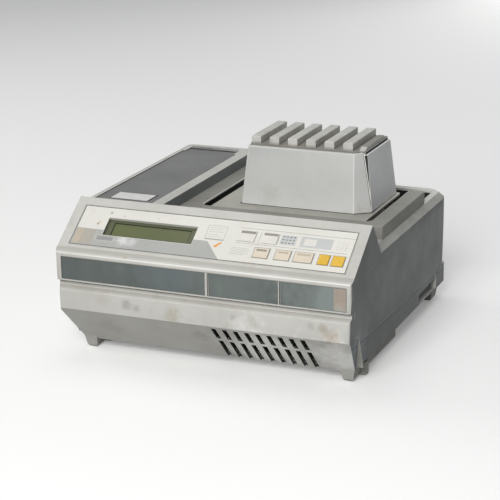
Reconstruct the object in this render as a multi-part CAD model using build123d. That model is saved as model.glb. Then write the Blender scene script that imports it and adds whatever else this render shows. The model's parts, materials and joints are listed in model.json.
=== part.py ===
from build123d import *
import os
from math import atan2, cos, degrees, hypot, pi, radians, sin, sqrt

# Bench thermal shaker: a slanted control pod, a printer bay on the left and a shaking, heated plate on the
# right under a ribbed hood. Millimetres. While modelling, X runs to the right, Y runs back from the front
# face, and Z runs up from a level a little under the bench. The finished pieces are moved so that Y = 0 is
# the middle of the depth and Z = 0 is the bench.

# Case, outside
case_width = 354.0             # over the pod
case_depth = 363.0             # front face to the back of the upper case
rear_step = 5.0                # how far the foot of the lower case stands out behind the upper case
wall = 3.0
front_corner = 5.0             # radius of the two upright corners at the front
rear_corner = 16.0
low_rear_corner = 26.0         # right-hand rear corner of the low rim
side_draft = 4.0               # the sides lean in this far from the panel's foot down to the side seam
bay_lean = 4.0                 # the bay's left wall leans in this far from the rim up to its top
band_top_z = 130.0             # lower edge of the slanted panel
front_edge_radius = 6.0
ridge_y = 68.0                 # upper edge of the slanted panel
ridge_z = 178.0
pod_foot_y = 97.0              # where the back of the pod meets the rim
rim_z = 138.0                  # outer edge of the low rim
rim_rise = 6.0                 # the rim slopes up this far to its inner edge
rim_run = 7.5
rim_flange = 15.0              # width of the rim, seen from above
bay_top_z = 172.5              # top of the printer bay on the left
bay_width = 97.0
seam_gap = 0.4                 # shadow line between the upper and the lower case
upper_bottom_z = 97.5          # lower lip of the upper case at the front
side_seam_z = 47.0
rear_recess = 10.0             # the rear panel lies this far inside the back
rear_panel_top_z = 100.0
rear_seam_z = 50.0

# Lower case
lower_front_y = 1.0
lower_inset = 2.0              # the lower band's ends lie this far inside the pod's
lower_band_top_z = 86.0
groove_depth = 5.0
groove_slope = 5.0             # height of the slanted floor of the groove
skirt_top_z = 64.0
skirt_bottom_y = 45.0
bottom_z = 14.5
skirt_inset = 9.5              # the skirt's ends lean in this far at the bottom
side_inset = 0.8               # the lower case's sides lie this far inside the upper case's
side_bottom_z = 25.0
side_bottom_run = 12.0
tab_top_z = 65.0
tab_front_y = 14.0
tab_width = 15.0
grip_from_back = 71.0          # middle of the hand grips
grip_length = 68.0
grip_height = 13.0
grip_depth = 6.0

# Slots in the skirt
vent_count = 9
vent_first_x = 14.5
vent_pitch = 13.1
vent_width = 5.6
vent_lean = 3.0
vent_top_z = 60.5
vent_rib_z = 42.5
vent_rib_height = 3.6

# Front windows
window_top_z = 125.5
window_bottom_z = 99.5
window_left_margin = 8.0
window_right_margin = 6.0
window_pane_1 = 178.0          # from the left end to the first rib
window_pane_2 = 85.0
window_rib_1 = 2.4
window_rib_2 = 1.0
window_thickness = 1.5
window_recess = 2.1
fit_gap = 0.3

# Slanted panel: the overlay sheet, the display and the keys, as places along X and up the slope
overlay_left_margin = 12.5
overlay_right_margin = 11.5
overlay_bottom_t = 13.7
overlay_top_t = 71.0
overlay_thickness = 0.8
overlay_gap = 0.6
display_place = 90.3           # middle of the display, from the overlay's left edge
display_t = 43.5
display_width = 110.0
display_height = 25.0
glass_width = 95.5
glass_height = 18.5
glass_t = 43.2
glass_depth = 4.6
bezel_margin = 4.5
key_row_t = 29.5
key_row_height = 13.0
key_lane_t = 50.2
key_lane_height = 14.6
key_travel = 0.5
key_rise = 1.0                 # how far the key tops stand above the overlay
key_gap = 0.3
key_lip = 1.2
key_lip_thickness = 1.2
key_edge_radius = 0.4
cream_key_sizes = [(101.0, 17.0), (76.0, 17.0), (52.0, 21.0)]     # middle from the overlay's right edge, width
yellow_key_sizes = [(28.8, 11.6), (12.5, 13.2)]
white_key_sizes = [(123.3, 18.5), (96.7, 17.5)]
board_thickness = 1.6
switch_height = 1.9

# Well on the right: deck, tray and the shaking plate
deck_z = 160.0
deck_thickness = 2.5
deck_margin = 7.5              # right of the deck's rail
deck_front_y = 124.0
rail_from_back = 80.0
well_left_x = -57.0
well_right_x = 150.5
well_front_y = 139.0
well_corner = 8.0
tray_floor_z = 106.0
tray_wall = 1.5
plate_left_x = -49.5
plate_right_x = 141.0
plate_front_y = 146.5
plate_rear_y = 279.0
plate_top_z = 157.0
plate_thickness = 3.0

# Orbital drive
orbit_radius = 1.5
platform_z = 124.0
platform_thickness = 6.0
platform_inset = 4.0
crank_shaft_radius = 6.0
crank_pin_radius = 5.0
idler_shaft_radius = 4.0
idler_pin_radius = 3.5
idler_reach_x = 62.0
idler_reach_y = 38.0
running_gap = 0.05
open_pivot_gap = 0.35
bush_wall = 3.0
crank_disc_radius = 18.0
counterweight_radius = 30.0
crank_disc_thickness = 5.0
bearing_height = 21.0
bearing_radius = 13.0
idler_bearing_wall = 5.0
frame_plate_z = 88.0
frame_plate_thickness = 3.0
frame_post_radius = 5.0
frame_post_inset = 7.0
frame_margin = 20.0            # frame plate beyond the idlers
frame_front_reach = 40.0
shaft_room = 1.0
bearing_flange_width = 6.0
bearing_flange_height = 4.0
idler_disc_rim = 6.0
pin_head_room = 0.5            # the pins end this far below the platform's top
shaft_foot = 1.0
belt_pitch = 3.0
crank_pulley_teeth = 68
motor_pulley_teeth = 24
pulley_height = 12.0
pulley_room = 4.0              # between the pulley and the frame plate
motor_room = 3.0               # between the motor and its pulley
belt_width = 8.0
belt_thickness = 2.0
motor_reach = 82.0
motor_radius = 22.0
motor_flange = 50.0
motor_flange_thickness = 3.0
motor_shaft_radius = 2.5
motor_shaft_depth = 9.0

# Heated stack on the platform
insulation_thickness = 11.0
heater_thickness = 1.0
block_left_x = -6.0
block_right_x = 120.0
block_front_y = 168.0
block_rear_y = 270.0
plate_post_radius = 4.0
guide_x = 53.5                 # centre of the microplate place
guide_y = 225.5
microplate_length = 127.8
microplate_width = 85.5
guide_play = 0.5
guide_wall = 2.5
guide_arm = 14.0
guide_height = 6.0

# Hood
hood_left_x = -20.5
hood_right_x = 136.8
hood_front_y = 170.5
hood_rear_y = 276.0
hood_height = 69.0
hood_taper = 5.6               # degrees
hood_chamfer_x = 17.5
hood_chamfer_y = 13.5
hood_wall = 3.0
hood_edge_radius = 2.5
hood_seat_gap = 0.2
hood_cover_thickness = 2.4
hood_cover_drop = 2.5          # the side cover ends this far below the hood's top
hood_cover_gap = 0.5
rib_count = 6
rib_first_x = -5.8
rib_pitch = 22.6
rib_width = 11.8
rib_height = 10.0
rib_front_y = 184.5
rib_rear_y = 267.5
rib_base = 1.2
low_rib_x = 123.6
low_rib_width = 7.0
low_rib_height = 5.0
low_rib_front_y = 185.0
low_rib_rear_y = 258.0
low_rib_ramp = 9.0
liner_thickness = 2.0
hood_insulation = 6.0

# Printer bay
lid_margin = 10.0              # left of the lid
lid_width = 72.5
lid_front_y = 79.0
lid_from_back = 23.0
lid_thickness = 2.5
lid_drop = 0.7                 # the lid's top lies this far below the bay's rim
lid_gap = 0.4
lid_notch_x = 3.5
lid_notch_y = 13.0
lid_ledge = 3.0                # width of the ledge under the lid
lid_ledge_thickness = 3.0
lid_seat_gap = 0.3
lid_back_gap = 1.0             # room behind the lid's shoulders, which swing back as it opens
label_margin_x = 15.0          # from the lid's left edge
label_margin_y = 13.5
label_width = 47.0
label_length = 26.0
label_thickness = 1.2
hinge_inset = 3.0              # hinge line, from the lid's rear edge
hinge_z = 163.0
hinge_pin_radius = 2.0
hinge_ear = 3.0
tear_bar_depth = 6.0
tear_bar_rise = 2.6
tear_tooth = 2.4
tear_tooth_count = 24
bin_floor_z = 120.0
bin_wall = 2.0
spindle_y = 200.0
spindle_z = 146.0
spindle_radius = 6.0
spindle_pin_radius = 3.0
platen_from_hinge = 15.0
platen_z = 150.0
platen_radius = 7.0
platen_pin_radius = 2.5
gear_module = 1.0
platen_teeth = 24
pinion_teeth = 12
gear_width = 4.0
gear_backlash = 0.35
pinion_angle = 210.0
print_motor_radius = 10.0
print_motor_margin = 8.0       # left of the print motor
print_motor_foot = 7.0         # half the length of the motor's foot
pinion_shaft_radius = 1.5
pinion_shaft_length = 10.0
gear_from_side = 5.0           # middle of the gears, from the bin's right side
roller_margin = 4.0
print_head_front = 8.0         # reach in front of and behind the roller's middle
print_head_rear = 7.0
print_head_thickness = 4.0

# Rear panel
rear_plate_half = 125.0
rear_plate_thickness = 1.5
rear_plate_margin = 2.5
inlet_x = -92.0
inlet_width = 28.0
inlet_height = 21.0
inlet_depth = 24.0
inlet_wall = 2.0
inlet_back = 6.0
inlet_lip = 1.5
blade_low_z = -1.0             # the live and neutral blades, below the middle
blade_high_z = 3.5
blade_height = 4.0
blade_thickness = 2.0
blade_spread = 7.0
rocker_x = -58.0
rocker_width = 12.0
rocker_height = 18.0
rocker_depth = 9.0
rocker_angle = 8.0
rocker_pivot_depth = 5.0
port_x = 0.0
port_width = 31.0
port_height = 12.5
port_margin = 6.0
port_opening = 6.0
port_rise = 5.0
port_recess = 1.0
fan_x = 72.0
fan_size = 40.0
fan_depth = 20.0
fan_bore = 19.0
fan_hub_radius = 8.5
fan_blades = 7
fan_shaft_radius = 1.5

# Inside, on the floor of the case
chassis_margin = 16.0          # chassis plate beyond the main board
chassis_edge = 4.0             # chassis plate beyond the power supply
chassis_thickness = 1.5
chassis_front_y = 60.0
chassis_from_panel = 13.0
supply_from_side = 47.0
supply_width = 62.0
supply_from_chassis = 25.0     # behind the power supply
supply_length = 140.0
supply_height = 52.0
main_board_gap = 16.0          # between the power supply and the main board
main_board_width = 170.0
main_board_front_y = 70.0
main_board_length = 66.0
main_board_z = 30.0
standoff_radius = 3.0
standoff_inset = 6.0
board_components = [(0.25, 0.5, 34, 12, 4), (0.5, 0.35, 40, 15, 4), (0.5, 0.72, 40, 15, 4),
                    (0.75, 0.5, 22, 34, 18), (0.92, 0.5, 12, 30, 11), (0.08, 0.6, 9, 9, 14)]
screw_inset = 29.0
screw_front_y = 95.0
screw_from_back = 45.0
screw_radius = 2.0
screw_head_radius = 4.0
screw_head_height = 2.4
boss_radius = 5.5

# Feet and skids
foot_width = 16.0
foot_length = 26.0
foot_tip_width = 12.0
foot_tip_length = 17.0
foot_tip_radius = 5.5
foot_inset = 19.5
front_foot_y = 54.0
rear_foot_from_back = 17.0
foot_top_z = 19.0
bench_z = 3.0                  # level of the bench, which the feet stand on
skid_width = 9.0
skid_front_y = 86.0
skid_length = 106.0
skid_inset = 17.0
skid_bottom_z = 7.0
pad_radius = 13.0              # round rubber pad behind each front foot
pad_y = 74.0
pad_rise = 0.8                 # gap between the pad and the bench

# Worked-out places
half = case_width / 2
overall_depth = case_depth + rear_step
rear_panel_y = case_depth - rear_recess
grip_y = case_depth - grip_from_back
bay_right_x = -half + bay_width
window_left_x = -half + window_left_margin
window_right_x = half - window_right_margin
window_split_1 = window_left_x + window_pane_1
window_split_2 = window_split_1 + window_pane_2
overlay_left_x = -half + overlay_left_margin
overlay_right_x = half - overlay_right_margin
display_x = overlay_left_x + display_place
cream_keys = [(overlay_right_x - place, width) for place, width in cream_key_sizes]
yellow_keys = [(overlay_right_x - place, width) for place, width in yellow_key_sizes]
white_keys = [(overlay_right_x - place, width) for place, width in white_key_sizes]
rear_x = half - side_draft
side_x = rear_x - side_inset
lower_half = half - lower_inset
panel_angle = degrees(atan2(ridge_z - band_top_z, ridge_y))
panel_length = hypot(ridge_y, ridge_z - band_top_z)
panel_wall = wall + overlay_thickness
key_lip_drop = key_gap + 0.1
board_depth = panel_wall + key_lip_drop + key_lip_thickness + key_travel + switch_height
panel = Plane(origin=(0, 0, band_top_z), x_dir=(1, 0, 0),
              z_dir=(0, -sin(radians(panel_angle)), cos(radians(panel_angle))))
skirt_run = skirt_bottom_y - lower_front_y
skirt_drop = skirt_top_z - bottom_z
skirt_length = hypot(skirt_run, skirt_drop)
skirt = Plane(origin=(0, lower_front_y, skirt_top_z), x_dir=(1, 0, 0),
              z_dir=(0, -skirt_drop / skirt_length, -skirt_run / skirt_length))
floor_z = bottom_z + wall
flange_z = rim_z + rim_rise
opening_right_x = half - rim_flange
opening_rear_y = case_depth - rim_flange - wall
deck_right_x = half - deck_margin
rail_rear_y = case_depth - rail_from_back
lid_left_x = -half + lid_margin
lid_right_x = lid_left_x + lid_width
lid_rear_y = case_depth - lid_from_back
label_left_x = lid_left_x + label_margin_x
label_right_x = label_left_x + label_width
label_front_y = lid_front_y + label_margin_y
label_rear_y = label_front_y + label_length
hinge_y = lid_rear_y - hinge_inset
platen_y = hinge_y - platen_from_hinge
rear_foot_y = case_depth - rear_foot_from_back
chassis_rear_y = rear_panel_y - chassis_from_panel
supply_left_x = -half + supply_from_side
supply_front_y = chassis_rear_y - supply_from_chassis - supply_length
main_board_left_x = supply_left_x + supply_width + main_board_gap
drive_x = (plate_left_x + plate_right_x) / 2
drive_y = (plate_front_y + plate_rear_y) / 2
platform_top_z = platform_z + platform_thickness
heater_z = platform_top_z + insulation_thickness
block_z = heater_z + heater_thickness
plate_z = plate_top_z - plate_thickness
bearing_z = frame_plate_z + frame_plate_thickness
idler_bearing_radius = idler_shaft_radius + idler_bearing_wall
crank_disc_z = bearing_z + bearing_height + fit_gap
crank_pin_z = crank_disc_z + crank_disc_thickness
pulley_z = frame_plate_z - pulley_room - pulley_height
chassis_top_z = floor_z + chassis_thickness
crank_pulley_radius = crank_pulley_teeth * belt_pitch / (2 * pi)
motor_pulley_radius = motor_pulley_teeth * belt_pitch / (2 * pi)
motor_x = drive_x - motor_reach
motor_y = drive_y
motor_top_z = pulley_z - motor_room
idlers = [(drive_x - idler_reach_x, drive_y + idler_reach_y), (drive_x + idler_reach_x, drive_y + idler_reach_y)]
hood_z = plate_top_z + hood_seat_gap
hood_top_z = hood_z + hood_height
lid_top_z = bay_top_z - lid_drop
lid_bottom_z = lid_top_z - lid_thickness
lid_seat_z = lid_bottom_z - lid_seat_gap
bay_ceiling_z = lid_seat_z - lid_ledge_thickness
bin_left_x = lid_left_x + lid_ledge
bin_right_x = lid_right_x - lid_ledge
bin_front_y = lid_front_y + lid_ledge
lid_swing = hypot(lid_rear_y - hinge_y, lid_top_z - hinge_z) + fit_gap
bin_rear_y = hinge_y + lid_swing
tear_bar_front_y = hinge_y + sqrt(lid_swing ** 2 - (lid_seat_z - hinge_z) ** 2)
pinion_reach = gear_module * (platen_teeth + pinion_teeth) / 2 + 0.1
pinion_y = platen_y + pinion_reach * cos(radians(pinion_angle))
pinion_z = platen_z + pinion_reach * sin(radians(pinion_angle))
rear_plate_z = (rear_seam_z + rear_panel_top_z) / 2
screw_places = [(sx * (half - screw_inset), y) for sx in (-1, 1) for y in (screw_front_y, case_depth - screw_from_back)]

parts = {}


def box(x0, x1, y0, y1, z0, z1):
    """Block between two corners."""
    return Pos((x0 + x1) / 2, (y0 + y1) / 2, (z0 + z1) / 2) * Box(x1 - x0, y1 - y0, z1 - z0)


def prism_x(points, x0, x1):
    """Solid with the outline (y, z), from x0 to x1."""
    outline = make_face(Polyline(*points, close=True))
    return extrude(Plane.YZ.offset(x0) * outline, x1 - x0, dir=(1, 0, 0))


def prism_y(points, y0, y1):
    """Solid with the outline (x, z), from y0 to y1."""
    outline = make_face(Polyline(*[(x, 0, z) for x, z in points], close=True))
    return extrude(Pos(0, y0, 0) * outline, y1 - y0, dir=(0, 1, 0))


def prism_z(points, z0, z1):
    """Solid with the outline (x, y), from z0 to z1."""
    outline = make_face(Polyline(*points, close=True))
    return extrude(Pos(0, 0, z0) * outline, z1 - z0, dir=(0, 0, 1))


def rod_z(x, y, radius, z0, z1):
    return Pos(x, y, (z0 + z1) / 2) * Cylinder(radius, z1 - z0)


def rod_x(y, z, radius, x0, x1):
    return Pos((x0 + x1) / 2, y, z) * Rot(0, 90, 0) * Cylinder(radius, x1 - x0)


def rod_y(x, z, radius, y0, y1):
    return Pos(x, (y0 + y1) / 2, z) * Rot(90, 0, 0) * Cylinder(radius, y1 - y0)


def on_panel(x, t, width, height, low, high):
    """Block on the slanted panel: centre, size, and heights above the panel's face."""
    return panel * Pos(x, t, (low + high) / 2) * Box(width, height, high - low)


def group(solids):
    return Compound([part for solid in solids for part in solid.solids()])


def lines_along(shape, axis, y=None, z=None, x=None):
    """Straight edges along an axis that pass through the given place."""
    found = []
    for edge in shape.edges().filter_by(axis):
        middle = edge.center()
        places = ((x, middle.X), (y, middle.Y), (z, middle.Z))
        if all(want is None or abs(want - have) < 0.01 for want, have in places):
            found.append(edge)
    return found


def gear(teeth, width):
    """Straight-sided spur gear about X, centred on its own middle."""
    pitch_radius = gear_module * teeth / 2
    tip, root = pitch_radius + 0.9 * gear_module, pitch_radius - 1.15 * gear_module
    step = 2 * pi / teeth
    slack = gear_backlash / pitch_radius / 2
    outline = []
    for tooth in range(teeth):
        angle = tooth * step
        for radius, share in ((root, -0.36), (tip, -0.13), (tip, 0.13), (root, 0.36)):
            turn = angle + share * step - (slack if share > 0 else -slack)
            outline.append((radius * cos(turn), radius * sin(turn)))
    return Pos(-width / 2, 0, 0) * prism_x(outline, 0, width)


def footprint(x0, x1, y0, y1, front_radius, back_radius):
    """Outline seen from above, with rounded front and back corners."""
    face = make_face(Polyline((x0, y0), (x1, y0), (x1, y1), (x0, y1), close=True))
    front = [v for v in face.vertices() if v.Y < (y0 + y1) / 2]
    face = fillet(front, front_radius)
    back = [v for v in face.vertices() if v.Y > y1 - 0.01]
    return fillet(back, back_radius)


def case_outline():
    return extrude(footprint(-half, half, 0, case_depth, front_corner, rear_corner), ridge_z + 10, dir=(0, 0, 1))


def leaning_sides(inset):
    """Block between the leaning sides of the case, made narrower by inset on both sides."""
    reach = half - inset
    foot = reach - side_draft
    top_z = ridge_z + 10
    return prism_y([(-foot, 0), (foot, 0), (foot, side_seam_z), (reach, band_top_z), (reach, top_z), (-reach, top_z),
                    (-reach, band_top_z), (-foot, side_seam_z)], -1, overall_depth + 1)


def bay_wedge(inset):
    """What the bay's left wall loses where it leans in."""
    left = -half + inset
    top_z = bay_top_z + 1
    return prism_y([(left, rim_z), (left + bay_lean, top_z), (left - 10, top_z), (left - 10, rim_z)], 0, overall_depth)


def upper_case():
    pod_points = [(0, upper_bottom_z), (0, band_top_z), (ridge_y, ridge_z), (pod_foot_y, rim_z),
                  (pod_foot_y, upper_bottom_z)]
    pod = prism_x(pod_points, -half, half)
    pod = fillet(lines_along(pod, Axis.X, y=0, z=band_top_z), front_edge_radius)
    pod = fillet(lines_along(pod, Axis.X, y=ridge_y, z=ridge_z), 1.5)
    low_z = side_seam_z + seam_gap
    bay = box(-half, bay_right_x, ridge_y + 2, case_depth, low_z, bay_top_z) - bay_wedge(0)
    low_face = footprint(bay_right_x - 40, half, ridge_y + 12, case_depth, 1, low_rear_corner)
    low = Pos(0, 0, low_z) * extrude(low_face, rim_z - low_z, dir=(0, 0, 1))
    slope = degrees(atan2(rim_run, rim_rise))
    low += Pos(0, 0, rim_z) * extrude(low_face, rim_rise, taper=slope)
    sides = prism_x([(0, upper_bottom_z), (tab_front_y + seam_gap, upper_bottom_z),
                     (tab_front_y + seam_gap, tab_top_z + seam_gap),
                     (tab_front_y + tab_width + seam_gap, tab_top_z + seam_gap),
                     (tab_front_y + tab_width + 9, low_z), (pod_foot_y, low_z), (pod_foot_y, band_top_z),
                     (0, band_top_z - front_edge_radius)], -half, half)
    case = (pod + bay + low + sides) & case_outline() & leaning_sides(0)
    case -= box(-half, half, rear_panel_y, case_depth, 0, rear_panel_top_z)
    case -= box(-half, half, 0, case_depth + 1, 0, rear_seam_z + seam_gap) & box(
        -half, half, rear_panel_y - 8, case_depth + 1, 0, case_depth)

    # hollow pod, bay and body
    inside_points = pod_points[:4] + [(pod_foot_y, upper_bottom_z - 60), (0, upper_bottom_z - 60)]
    inside = offset(make_face(Polyline(*inside_points, close=True)), -panel_wall, kind=Kind.INTERSECTION)
    inner = half - wall
    back_y = rear_panel_y - wall
    body_y = pod_foot_y - 30
    hollow = extrude(Plane.YZ.offset(-inner) * inside, 2 * inner, dir=(1, 0, 0))
    hollow += box(-inner, bay_right_x - wall, body_y, back_y, 0, bay_ceiling_z) - bay_wedge(wall)
    hollow += box(bay_right_x, opening_right_x + 4, body_y, back_y, 0, flange_z - wall)
    hollow += box(bay_right_x, inner, body_y, back_y, 0, rim_z - wall - 1)
    hollow += box(bay_right_x - 5, bay_right_x + 5, body_y, back_y, 0, tray_floor_z)
    hollow += box(-inner, inner, wall + groove_depth + 3, pod_foot_y, 0, upper_bottom_z)
    inner_face = footprint(-inner, inner, wall, case_depth - wall, 1, low_rear_corner - wall)
    case -= hollow & leaning_sides(wall) & extrude(inner_face, ridge_z, dir=(0, 0, 1))

    # top openings: the well, the lid's recess and the bin below it
    case -= box(bay_right_x, opening_right_x, deck_front_y + 6, opening_rear_y, rim_z - 10, bay_top_z + 20)
    case += box(bay_right_x, bay_right_x + 4, deck_front_y, opening_rear_y, deck_z - deck_thickness - 3,
                deck_z - deck_thickness)
    lid_top = bay_top_z + 1
    case -= box(lid_left_x - lid_gap, lid_right_x + lid_gap, lid_front_y - lid_gap,
                lid_rear_y - lid_notch_y + lid_back_gap, lid_seat_z, lid_top)
    case -= box(lid_left_x + lid_notch_x - lid_gap, lid_right_x - lid_notch_x + lid_gap, lid_front_y,
                tear_bar_front_y + tear_bar_depth, lid_seat_z, lid_top)
    case -= box(bin_left_x, bin_right_x, bin_front_y, bin_rear_y, bay_ceiling_z - 1, lid_top)

    # slanted panel: recess, display opening, key openings and board bosses
    middle_x = (overlay_left_x + overlay_right_x) / 2
    middle_t = (overlay_bottom_t + overlay_top_t) / 2
    case -= on_panel(middle_x, middle_t, overlay_right_x - overlay_left_x + 2 * overlay_gap,
                     overlay_top_t - overlay_bottom_t + 2 * overlay_gap, -overlay_thickness, 5)
    case -= on_panel(display_x, display_t, display_width, display_height, -panel_wall - 1, 0)
    for x, t, width, height in key_places():
        case -= on_panel(x, t, width + 2 * key_gap, height + 2 * key_gap, -panel_wall - 1, 0)
    for x, t in panel_boss_places():
        case += panel * Pos(x, t, -panel_wall - (board_depth - panel_wall) / 2) * Cylinder(3, board_depth - panel_wall)

    # recess for the front windows, with two upright ribs left standing
    for x0, x1 in window_spans():
        case -= box(x0 - fit_gap, x1 + fit_gap, -1, window_recess, window_bottom_z - fit_gap, window_top_z + fit_gap)

    # rear: seat and opening for the rear plate
    low, high = rear_seam_z + rear_plate_margin, rear_panel_top_z - rear_plate_margin
    case -= box(-rear_plate_half, rear_plate_half, rear_panel_y - rear_plate_thickness, case_depth, low, high)
    case -= box(-rear_plate_half + 5, rear_plate_half - 5, back_y - 1, case_depth, low + 1, high - 1)

    # lugs for the case screws
    for x, y in screw_places:
        inward = x / abs(x)
        ends = sorted((x - inward * 7, inward * (inner - side_draft + 1)))
        lug = box(*ends, y - 7, y + 7, side_seam_z + seam_gap, side_seam_z + seam_gap + 12)
        case += lug - rod_z(x, y, screw_radius, side_seam_z, side_seam_z + 9)
    return case


def key_places():
    """Centre along X, centre up the slope, width and height of each key."""
    rows = [(x, key_row_t, width, key_row_height) for x, width in cream_keys + yellow_keys]
    return rows + [(x, key_lane_t, width, key_lane_height) for x, width in white_keys]


def panel_boss_places():
    left = white_keys[0][0] - white_keys[0][1] / 2 - 7
    right = yellow_keys[-1][0] + yellow_keys[-1][1] / 2 + 3
    low, high = key_row_t - key_row_height / 2 - 5, key_lane_t + key_lane_height / 2 + 5
    return [(left, low), (left, high), (right, low), (right, high)]


def window_spans():
    split_1 = (window_split_1 - window_rib_1 / 2, window_split_1 + window_rib_1 / 2)
    split_2 = (window_split_2 - window_rib_2 / 2, window_split_2 + window_rib_2 / 2)
    return [(window_left_x, split_1[0] - fit_gap), (split_1[1] + fit_gap, split_2[0] - fit_gap),
            (split_2[1] + fit_gap, window_right_x)]


def lower_outer():
    """Lower case as a full block: band, groove floor, skirt, bottom and the step at the back."""
    flange_y = lower_front_y + groove_depth
    rear_y = overall_depth
    block = prism_x([(skirt_bottom_y, bottom_z), (lower_front_y, skirt_top_z), (lower_front_y, lower_band_top_z),
                     (flange_y, lower_band_top_z + groove_slope), (flange_y, upper_bottom_z),
                     (tab_front_y, upper_bottom_z), (tab_front_y, tab_top_z), (tab_front_y + tab_width, tab_top_z),
                     (tab_front_y + tab_width + 9, side_seam_z), (rear_panel_y - 8, side_seam_z),
                     (rear_panel_y - 8, rear_seam_z), (rear_y - 2, rear_seam_z), (rear_y, rear_seam_z - 3),
                     (rear_y, bottom_z + 12), (rear_y - 10, bottom_z)], -lower_half, lower_half)
    outline = footprint(-lower_half, lower_half, lower_front_y, rear_y, front_corner, rear_corner)
    block &= extrude(outline, upper_bottom_z + 10, dir=(0, 0, 1))
    tab_back = tab_front_y + tab_width
    strip_points = [(tab_back + seam_gap, tab_top_z), (tab_back + 9 + seam_gap, side_seam_z),
                    (skirt_bottom_y + 4, bottom_z - 1), (rear_panel_y - 30, bottom_z - 1),
                    (rear_panel_y - 30, tab_top_z)]
    for side in (-1, 1):
        ends = sorted((side * side_x, side * (half + 1)))
        block -= prism_x(strip_points, *ends)
        ends = sorted((side * rear_x, side * (half + 1)))
        block -= box(*ends, rear_panel_y - 31, rear_y + 1, 0, rear_seam_z + 1)
        wedge = prism_y([(side * lower_half, skirt_top_z), (side * (half + 9), skirt_top_z),
                         (side * (half + 9), bottom_z - 1), (side * (lower_half - skirt_inset), bottom_z - 1)],
                        0, skirt_bottom_y + tab_width)
        band = prism_x([(lower_front_y - 1, skirt_top_z + 1), (tab_back - 1, skirt_top_z + 1),
                        (skirt_bottom_y + 3, bottom_z - 1), (lower_front_y - 1, bottom_z - 1)], -half - 10, half + 10)
        block -= wedge & band
        block -= prism_y([(side * side_x, side_bottom_z), (side * (half + 5), side_bottom_z),
                          (side * (half + 5), bottom_z - 1), (side * (side_x - side_bottom_run), bottom_z - 1),
                          (side * (side_x - side_bottom_run), bottom_z)], skirt_bottom_y, rear_y)
    return block


def lower_case():
    case = lower_outer()
    inner = side_x - wall
    slope = wall * skirt_length / skirt_drop
    flange_y = lower_front_y + groove_depth
    rear_y = overall_depth - wall
    seat_y = rear_panel_y - wall - seam_gap
    bottom_edge = skirt_bottom_y + slope - wall * skirt_run / skirt_drop
    hollow = prism_x([(bottom_edge, floor_z), (lower_front_y + slope, skirt_top_z),
                      (lower_front_y + slope, lower_band_top_z - 1), (flange_y + wall, lower_band_top_z + groove_slope),
                      (flange_y + wall, upper_bottom_z + 1), (seat_y, upper_bottom_z + 1),
                      (seat_y, rear_seam_z - wall), (rear_y, rear_seam_z - wall), (rear_y, bottom_z + 14),
                      (rear_y - 9, floor_z)], -inner, inner)
    for side in (-1, 1):
        hollow -= prism_y([(side * inner, side_bottom_z + 2), (side * (inner + 5), side_bottom_z + 2),
                           (side * (inner + 5), floor_z - 1), (side * (inner - side_bottom_run), floor_z - 1),
                           (side * (inner - side_bottom_run), floor_z)], 0, overall_depth)
        hollow -= prism_y([(side * (lower_half - wall - 1), skirt_top_z + 4), (side * (half + 9), skirt_top_z + 4),
                           (side * (half + 9), floor_z - 1),
                           (side * (lower_half - skirt_inset - wall - 1), floor_z - 1)],
                          0, skirt_bottom_y + tab_width + 4)
        ends = sorted((side * (side_x - grip_depth - wall), side * (inner + 1)))
        hollow -= box(*ends, grip_y - grip_length / 2 - wall, grip_y + grip_length / 2 + wall, floor_z,
                      side_bottom_z + grip_height + 2 * wall)
    case -= hollow

    # hand grips near the back of both sides
    for side in (-1, 1):
        ends = sorted((side * (side_x - grip_depth), side * (half + 1)))
        case -= box(*ends, grip_y - grip_length / 2, grip_y + grip_length / 2, side_bottom_z + 1,
                    side_bottom_z + 1 + grip_height)

    # slots in the skirt, in two lengths with a rib left between them
    per_z = skirt_length / skirt_drop
    spans = [(vent_top_z, vent_rib_z + vent_rib_height / 2), (vent_rib_z - vent_rib_height / 2, bottom_z - 2)]
    for index in range(vent_count):
        x = vent_first_x + index * vent_pitch
        for high, low in spans:
            corners = []
            for z, side in ((high, -1), (high, 1), (low, 1), (low, -1)):
                lean = vent_lean * (vent_top_z - z) / (vent_top_z - bottom_z)
                corners.append((x + side * vent_width / 2 + lean, -(skirt_top_z - z) * per_z))
            cutter = extrude(skirt * Pos(0, 0, 1) * make_face(Polyline(*corners, close=True)), wall + 4,
                             dir=-skirt.z_dir)
            case -= cutter

    # bosses for the case screws
    for x, y in screw_places:
        case += rod_z(x, y, boss_radius, floor_z, side_seam_z)
        case -= rod_z(x, y, screw_radius, bottom_z - 1, side_seam_z + 1)
        case -= rod_z(x, y, screw_head_radius, bottom_z - 1, bottom_z + screw_head_height)
    return case


def feet():
    block = lower_outer()
    pads = []
    for side in (-1, 1):
        for y in (front_foot_y, rear_foot_y):
            x = side * (half - foot_inset)
            tip = Pos(x, y, bench_z) * Rectangle(foot_tip_width, foot_tip_length)
            top = Pos(x, y, foot_top_z) * Rectangle(foot_width, foot_length)
            foot = loft([tip, top])
            foot = fillet(foot.faces().sort_by(Axis.Z)[0].edges(), foot_tip_radius)
            pads.append(foot - block)
    return group(pads)


def skids():
    block = lower_outer()
    rails = []
    for side in (-1, 1):
        x = side * (half - skid_inset)
        rails.append(box(x - skid_width / 2, x + skid_width / 2, skid_front_y, skid_front_y + skid_length,
                         skid_bottom_z, side_bottom_z) - block)
        pad = rod_z(side * (half - foot_inset), pad_y, pad_radius, bench_z + pad_rise, foot_top_z)
        pad -= box(-half, half, 0, front_foot_y + foot_length / 2 + fit_gap, 0, ridge_z)
        rails.append(pad - block)
    return group(rails)


def case_screws():
    screws = []
    for x, y in screw_places:
        head = rod_z(x, y, screw_head_radius, bottom_z, bottom_z + screw_head_height)
        screws.append(head + rod_z(x, y, screw_radius, bottom_z, side_seam_z + 8))
    return group(screws)


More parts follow.
